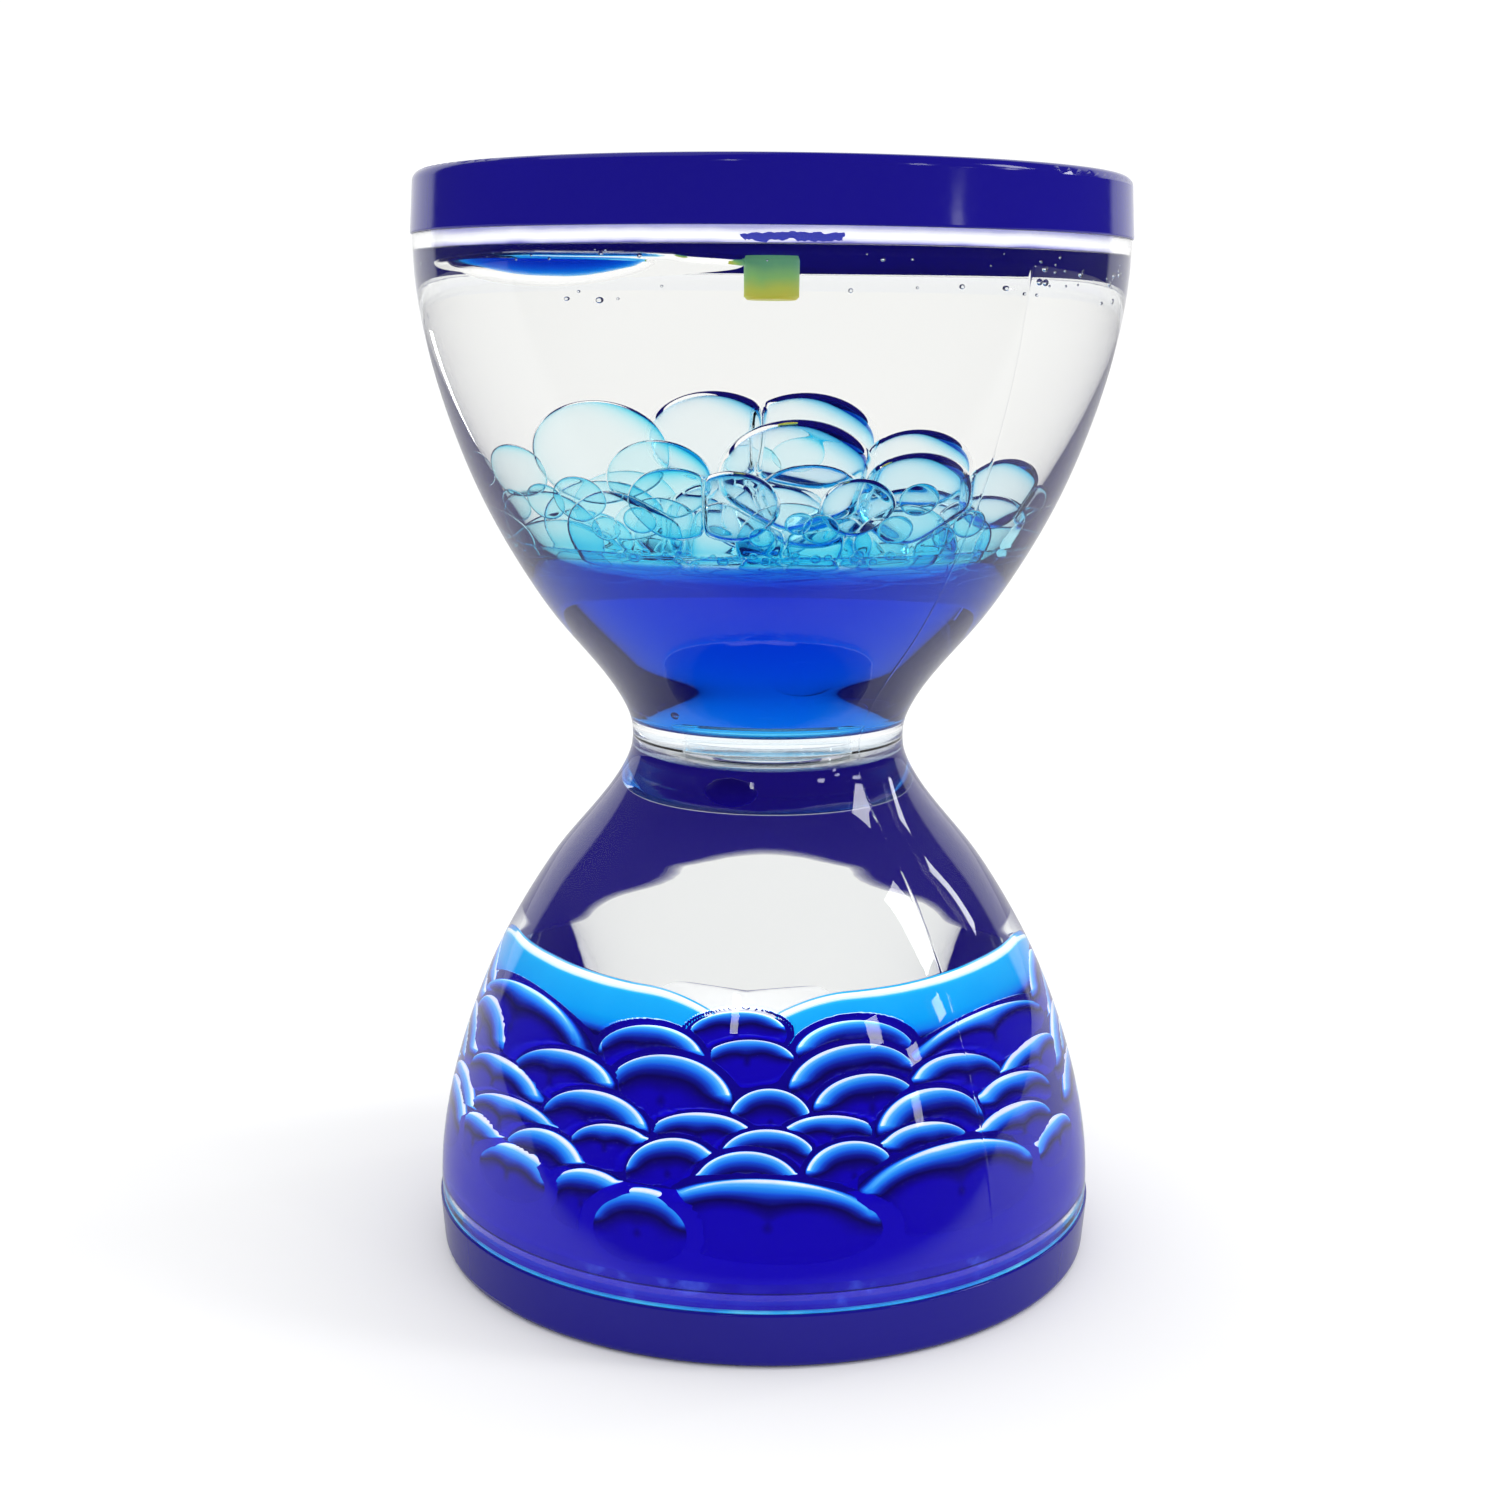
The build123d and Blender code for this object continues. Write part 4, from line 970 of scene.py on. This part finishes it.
# the band is painted darker lavender at its top, a painted shadow under the cap's edge, and dark blue at its lower edge
milk = ramp(nt, [(0.0, (0.10, 0.09, 0.42)), (0.14, (0.52, 0.52, 0.76)), (0.36, (0.92, 0.93, 0.95)), (0.68, (0.84, 0.85, 0.92)), (1.0, (0.40, 0.40, 0.70))])
nt.links.new(mixed.outputs["Value"], milk.inputs["Fac"])
# a little blue liquid caught in the bond in front of the plug
n2 = put(nt, "ShaderNodeTexNoise", Scale=700.0, Detail=3.0)
nt.links.new(tc.outputs["Object"], n2.inputs["Vector"])
masks = []
for axis, middle, half, ragged in (("X", 0.0022, 0.0048, 0.0040), ("Y", -0.0400, 0.0030, 0.0), ("Z", 0.12495, 0.00040, 0.0012)):
    bend = put(nt, "ShaderNodeMath", operation="MULTIPLY_ADD")
    nt.links.new(n2.outputs["Fac"], bend.inputs[0])
    bend.inputs[1].default_value = ragged
    nt.links.new(sep.outputs[axis], bend.inputs[2])
    near_it = put(nt, "ShaderNodeMath", operation="COMPARE")
    nt.links.new(bend.outputs["Value"], near_it.inputs[0])
    near_it.inputs[1].default_value, near_it.inputs[2].default_value = middle + ragged / 2, half
    masks.append(near_it.outputs["Value"])
for other in masks[1:]:
    times = put(nt, "ShaderNodeMath", operation="MULTIPLY")
    nt.links.new(masks[0], times.inputs[0])
    nt.links.new(other, times.inputs[1])
    masks[0] = times.outputs["Value"]
patch = nt.nodes.new("ShaderNodeMix")
patch.data_type = "RGBA"
patch.inputs["B"].default_value = (0.012, 0.02, 0.34, 1)
nt.links.new(masks[0], patch.inputs["Factor"])
nt.links.new(milk.outputs["Color"], patch.inputs["A"])
milky = patch.outputs["Result"]
bead = nt.nodes.new("ShaderNodeMix")
bead.data_type = "RGBA"
bead.inputs["B"].default_value = (0.97, 0.98, 1.0, 1)
nt.links.new(milky, bead.inputs["A"])
nt.links.new(bead.outputs["Result"], p.inputs["Base Color"])
mr = put(nt, "ShaderNodeMapRange")
mr.inputs["From Min"].default_value, mr.inputs["From Max"].default_value = 0.12429, 0.12434
mr.inputs["To Min"].default_value, mr.inputs["To Max"].default_value = 1.0, 0.0
nt.links.new(sep.outputs["Z"], mr.inputs["Value"])
nt.links.new(mr.outputs["Result"], p.inputs["Transmission Weight"])
nt.links.new(mr.outputs["Result"], bead.inputs["Factor"])
# the milky band glows in its own colour, painted light; the clear bead under it does not
mx = put(nt, "ShaderNodeMapRange")
mx.inputs["From Min"].default_value, mx.inputs["From Max"].default_value = 0.12429, 0.12434
mx.inputs["To Min"].default_value, mx.inputs["To Max"].default_value = 0.0, 0.7
nt.links.new(sep.outputs["Z"], mx.inputs["Value"])
nt.links.new(milky, p.inputs["Emission Color"])
nt.links.new(mx.outputs["Result"], p.inputs["Emission Strength"])


def dress(node, mat):
    o = nodes[node]
    o.data.materials.clear()
    o.data.materials.append(mat)


dress("top_cap", cap_mat)
dress("base_cap", cap_mat)
dress("top_end_plate", plate_mat)
dress("base_end_plate", plate_mat)
dress("fill_plug", plug_mat)
dress("top_bond_ring", milky_mat)
dress("base_bond_ring", seam_mat)
dress("neck_bond", bond_mat)

# ------------------------------------------------------------------ floor, light, camera
floor_mat, nt, out = material("floor")
p = principled(nt, out, **{"Roughness": 0.7, "Specular IOR Level": 0.0})
tc = nt.nodes.new("ShaderNodeTexCoord")
n1 = put(nt, "ShaderNodeTexNoise", Scale=6.0, Detail=2.0)
nt.links.new(tc.outputs["Object"], n1.inputs["Vector"])
c = ramp(nt, [(0.3, (0.94, 0.94, 0.94)), (0.7, (0.955, 0.955, 0.955))])
nt.links.new(n1.outputs["Fac"], c.inputs["Fac"])
nt.links.new(c.outputs["Color"], p.inputs["Base Color"])
# for mirror reflections the floor is painted partly dark, and fully dark from a hand's breadth in front, a painted
# reflection of a dark room; other rays see it white
sep = nt.nodes.new("ShaderNodeSeparateXYZ")
nt.links.new(tc.outputs["Object"], sep.inputs["Vector"])
mr = put(nt, "ShaderNodeMapRange")
mr.inputs["From Min"].default_value, mr.inputs["From Max"].default_value = -0.055, -0.080
mr.inputs["To Min"].default_value, mr.inputs["To Max"].default_value = 0.4, 1.0
nt.links.new(sep.outputs["Y"], mr.inputs["Value"])
lp = nt.nodes.new("ShaderNodeLightPath")
mirrored = put(nt, "ShaderNodeMath", operation="SUBTRACT", use_clamp=True)
nt.links.new(lp.outputs["Is Glossy Ray"], mirrored.inputs[0])
nt.links.new(lp.outputs["Is Transmission Ray"], mirrored.inputs[1])
both = put(nt, "ShaderNodeMath", operation="MULTIPLY")
nt.links.new(mirrored.outputs["Value"], both.inputs[0])
nt.links.new(mr.outputs["Result"], both.inputs[1])
dim = put(nt, "ShaderNodeBsdfDiffuse")
dim.inputs["Color"].default_value = (0.05, 0.05, 0.055, 1)
mix = nt.nodes.new("ShaderNodeMixShader")
nt.links.new(both.outputs["Value"], mix.inputs["Fac"])
nt.links.new(p.outputs["BSDF"], mix.inputs[1])
nt.links.new(dim.outputs["BSDF"], mix.inputs[2])
nt.links.new(mix.outputs["Shader"], out.inputs["Surface"])
me = bpy.data.meshes.new("floor")
fv, ff = lathe_mesh([(0, -0.05), (3000, -0.05)], even(96))
me.from_pydata((fv * MM).tolist(), [], ff)
me.materials.append(floor_mat)
floor = bpy.data.objects.new("floor", me)
scene.collection.objects.link(floor)

world = bpy.data.worlds.new("studio")
scene.world = world
world.use_nodes = True
nt = world.node_tree
nt.nodes.clear()
wout = nt.nodes.new("ShaderNodeOutputWorld")
bright = nt.nodes.new("ShaderNodeBackground")
bright.inputs["Color"].default_value = (1.0, 1.0, 1.0, 1)
bright.inputs["Strength"].default_value = 1.08
# mirror reflections see a darker room in front and a white wall behind
room = nt.nodes.new("ShaderNodeBackground")
tc = nt.nodes.new("ShaderNodeTexCoord")
sep = nt.nodes.new("ShaderNodeSeparateXYZ")
nt.links.new(tc.outputs["Generated"], sep.inputs["Vector"])
c = ramp(nt, [(0.0, (0.04, 0.04, 0.05)), (0.64, (0.05, 0.05, 0.06)), (0.68, (0.9, 0.92, 0.95)), (1.0, (1.0, 1.0, 1.0))])
nt.links.new(sep.outputs["Y"], c.inputs["Fac"])
nt.links.new(c.outputs["Color"], room.inputs["Color"])
lp = nt.nodes.new("ShaderNodeLightPath")
mirrored = put(nt, "ShaderNodeMath", operation="SUBTRACT", use_clamp=True)
nt.links.new(lp.outputs["Is Glossy Ray"], mirrored.inputs[0])
nt.links.new(lp.outputs["Is Transmission Ray"], mirrored.inputs[1])
mix = nt.nodes.new("ShaderNodeMixShader")
nt.links.new(mirrored.outputs["Value"], mix.inputs["Fac"])
nt.links.new(bright.outputs["Background"], mix.inputs[1])
nt.links.new(room.outputs["Background"], mix.inputs[2])
nt.links.new(mix.outputs["Shader"], wout.inputs["Surface"])


def soft_light(name, direction, distance, size, radiance, target=(0, 0, 0.066)):
    light = bpy.data.lights.new(name, "AREA")
    light.shape = "RECTANGLE"
    light.size, light.size_y = size
    light.energy = radiance * math.pi * size[0] * size[1]
    o = bpy.data.objects.new(name, light)
    scene.collection.objects.link(o)
    o.location = Vector(target) + Vector(direction).normalized() * distance
    o.rotation_mode = "QUATERNION"
    o.rotation_quaternion = (Vector(target) - o.location).to_track_quat("-Z", "Y")
    return o


soft_light("window", (0.822, -0.075, 0.565), 1.2, (0.22, 0.34), 10.0)
soft_light("pane_1", (0.651, -0.621, 0.437), 1.2, (0.11, 0.12), 9.0)
soft_light("pane_2", (0.915, -0.189, 0.356), 1.2, (0.09, 0.08), 9.0)
soft_light("pane_3", (0.827, -0.470, 0.308), 1.2, (0.10, 0.07), 9.0)
soft_light("pane_4", (0.823, -0.542, 0.172), 1.2, (0.07, 0.10), 7.0)
soft_light("bar", (-0.192, -0.807, 0.558), 1.2, (0.06, 0.16), 9.0)
soft_light("side", (0.826, 0.421, 0.374), 1.2, (0.07, 0.30), 9.0)
soft_light("overhead", (-0.35, 0.25, 1.0), 1.6, (0.9, 0.9), 0.6)

cam_data = bpy.data.cameras.new("camera")
cam = bpy.data.objects.new("camera", cam_data)
scene.collection.objects.link(cam)
pitch, roll = math.radians(14.650165), math.radians(0.499568)
fwd = Vector((0, math.cos(pitch), -math.sin(pitch)))
right0 = Vector((1, 0, 0))
up0 = right0.cross(fwd)
right = right0 * math.cos(roll) + up0 * math.sin(roll)
up = up0 * math.cos(roll) - right0 * math.sin(roll)
m = Matrix((right, up, -fwd)).transposed().to_4x4()
m.translation = Vector((0, -0.262805, 0.117056))
cam.matrix_world = m
cam_data.sensor_width = 36.0
cam_data.lens = 2115.30 / 1500 * 36.0
cam_data.shift_x = (750 - 766.52) / 1500
cam_data.shift_y = (870.0 - 750) / 1500
cam_data.clip_start, cam_data.clip_end = 0.005, 20.0
scene.camera = cam

scene.view_settings.view_transform = "Standard"
scene.view_settings.look = "None"
scene.cycles.max_bounces = 48
scene.cycles.transmission_bounces = 48
scene.cycles.glossy_bounces = 16
scene.cycles.diffuse_bounces = 3
scene.cycles.transparent_max_bounces = 16
scene.cycles.caustics_refractive = True
scene.cycles.caustics_reflective = True
scene.cycles.sample_clamp_indirect = 6.0
scene.cycles.use_denoising = True
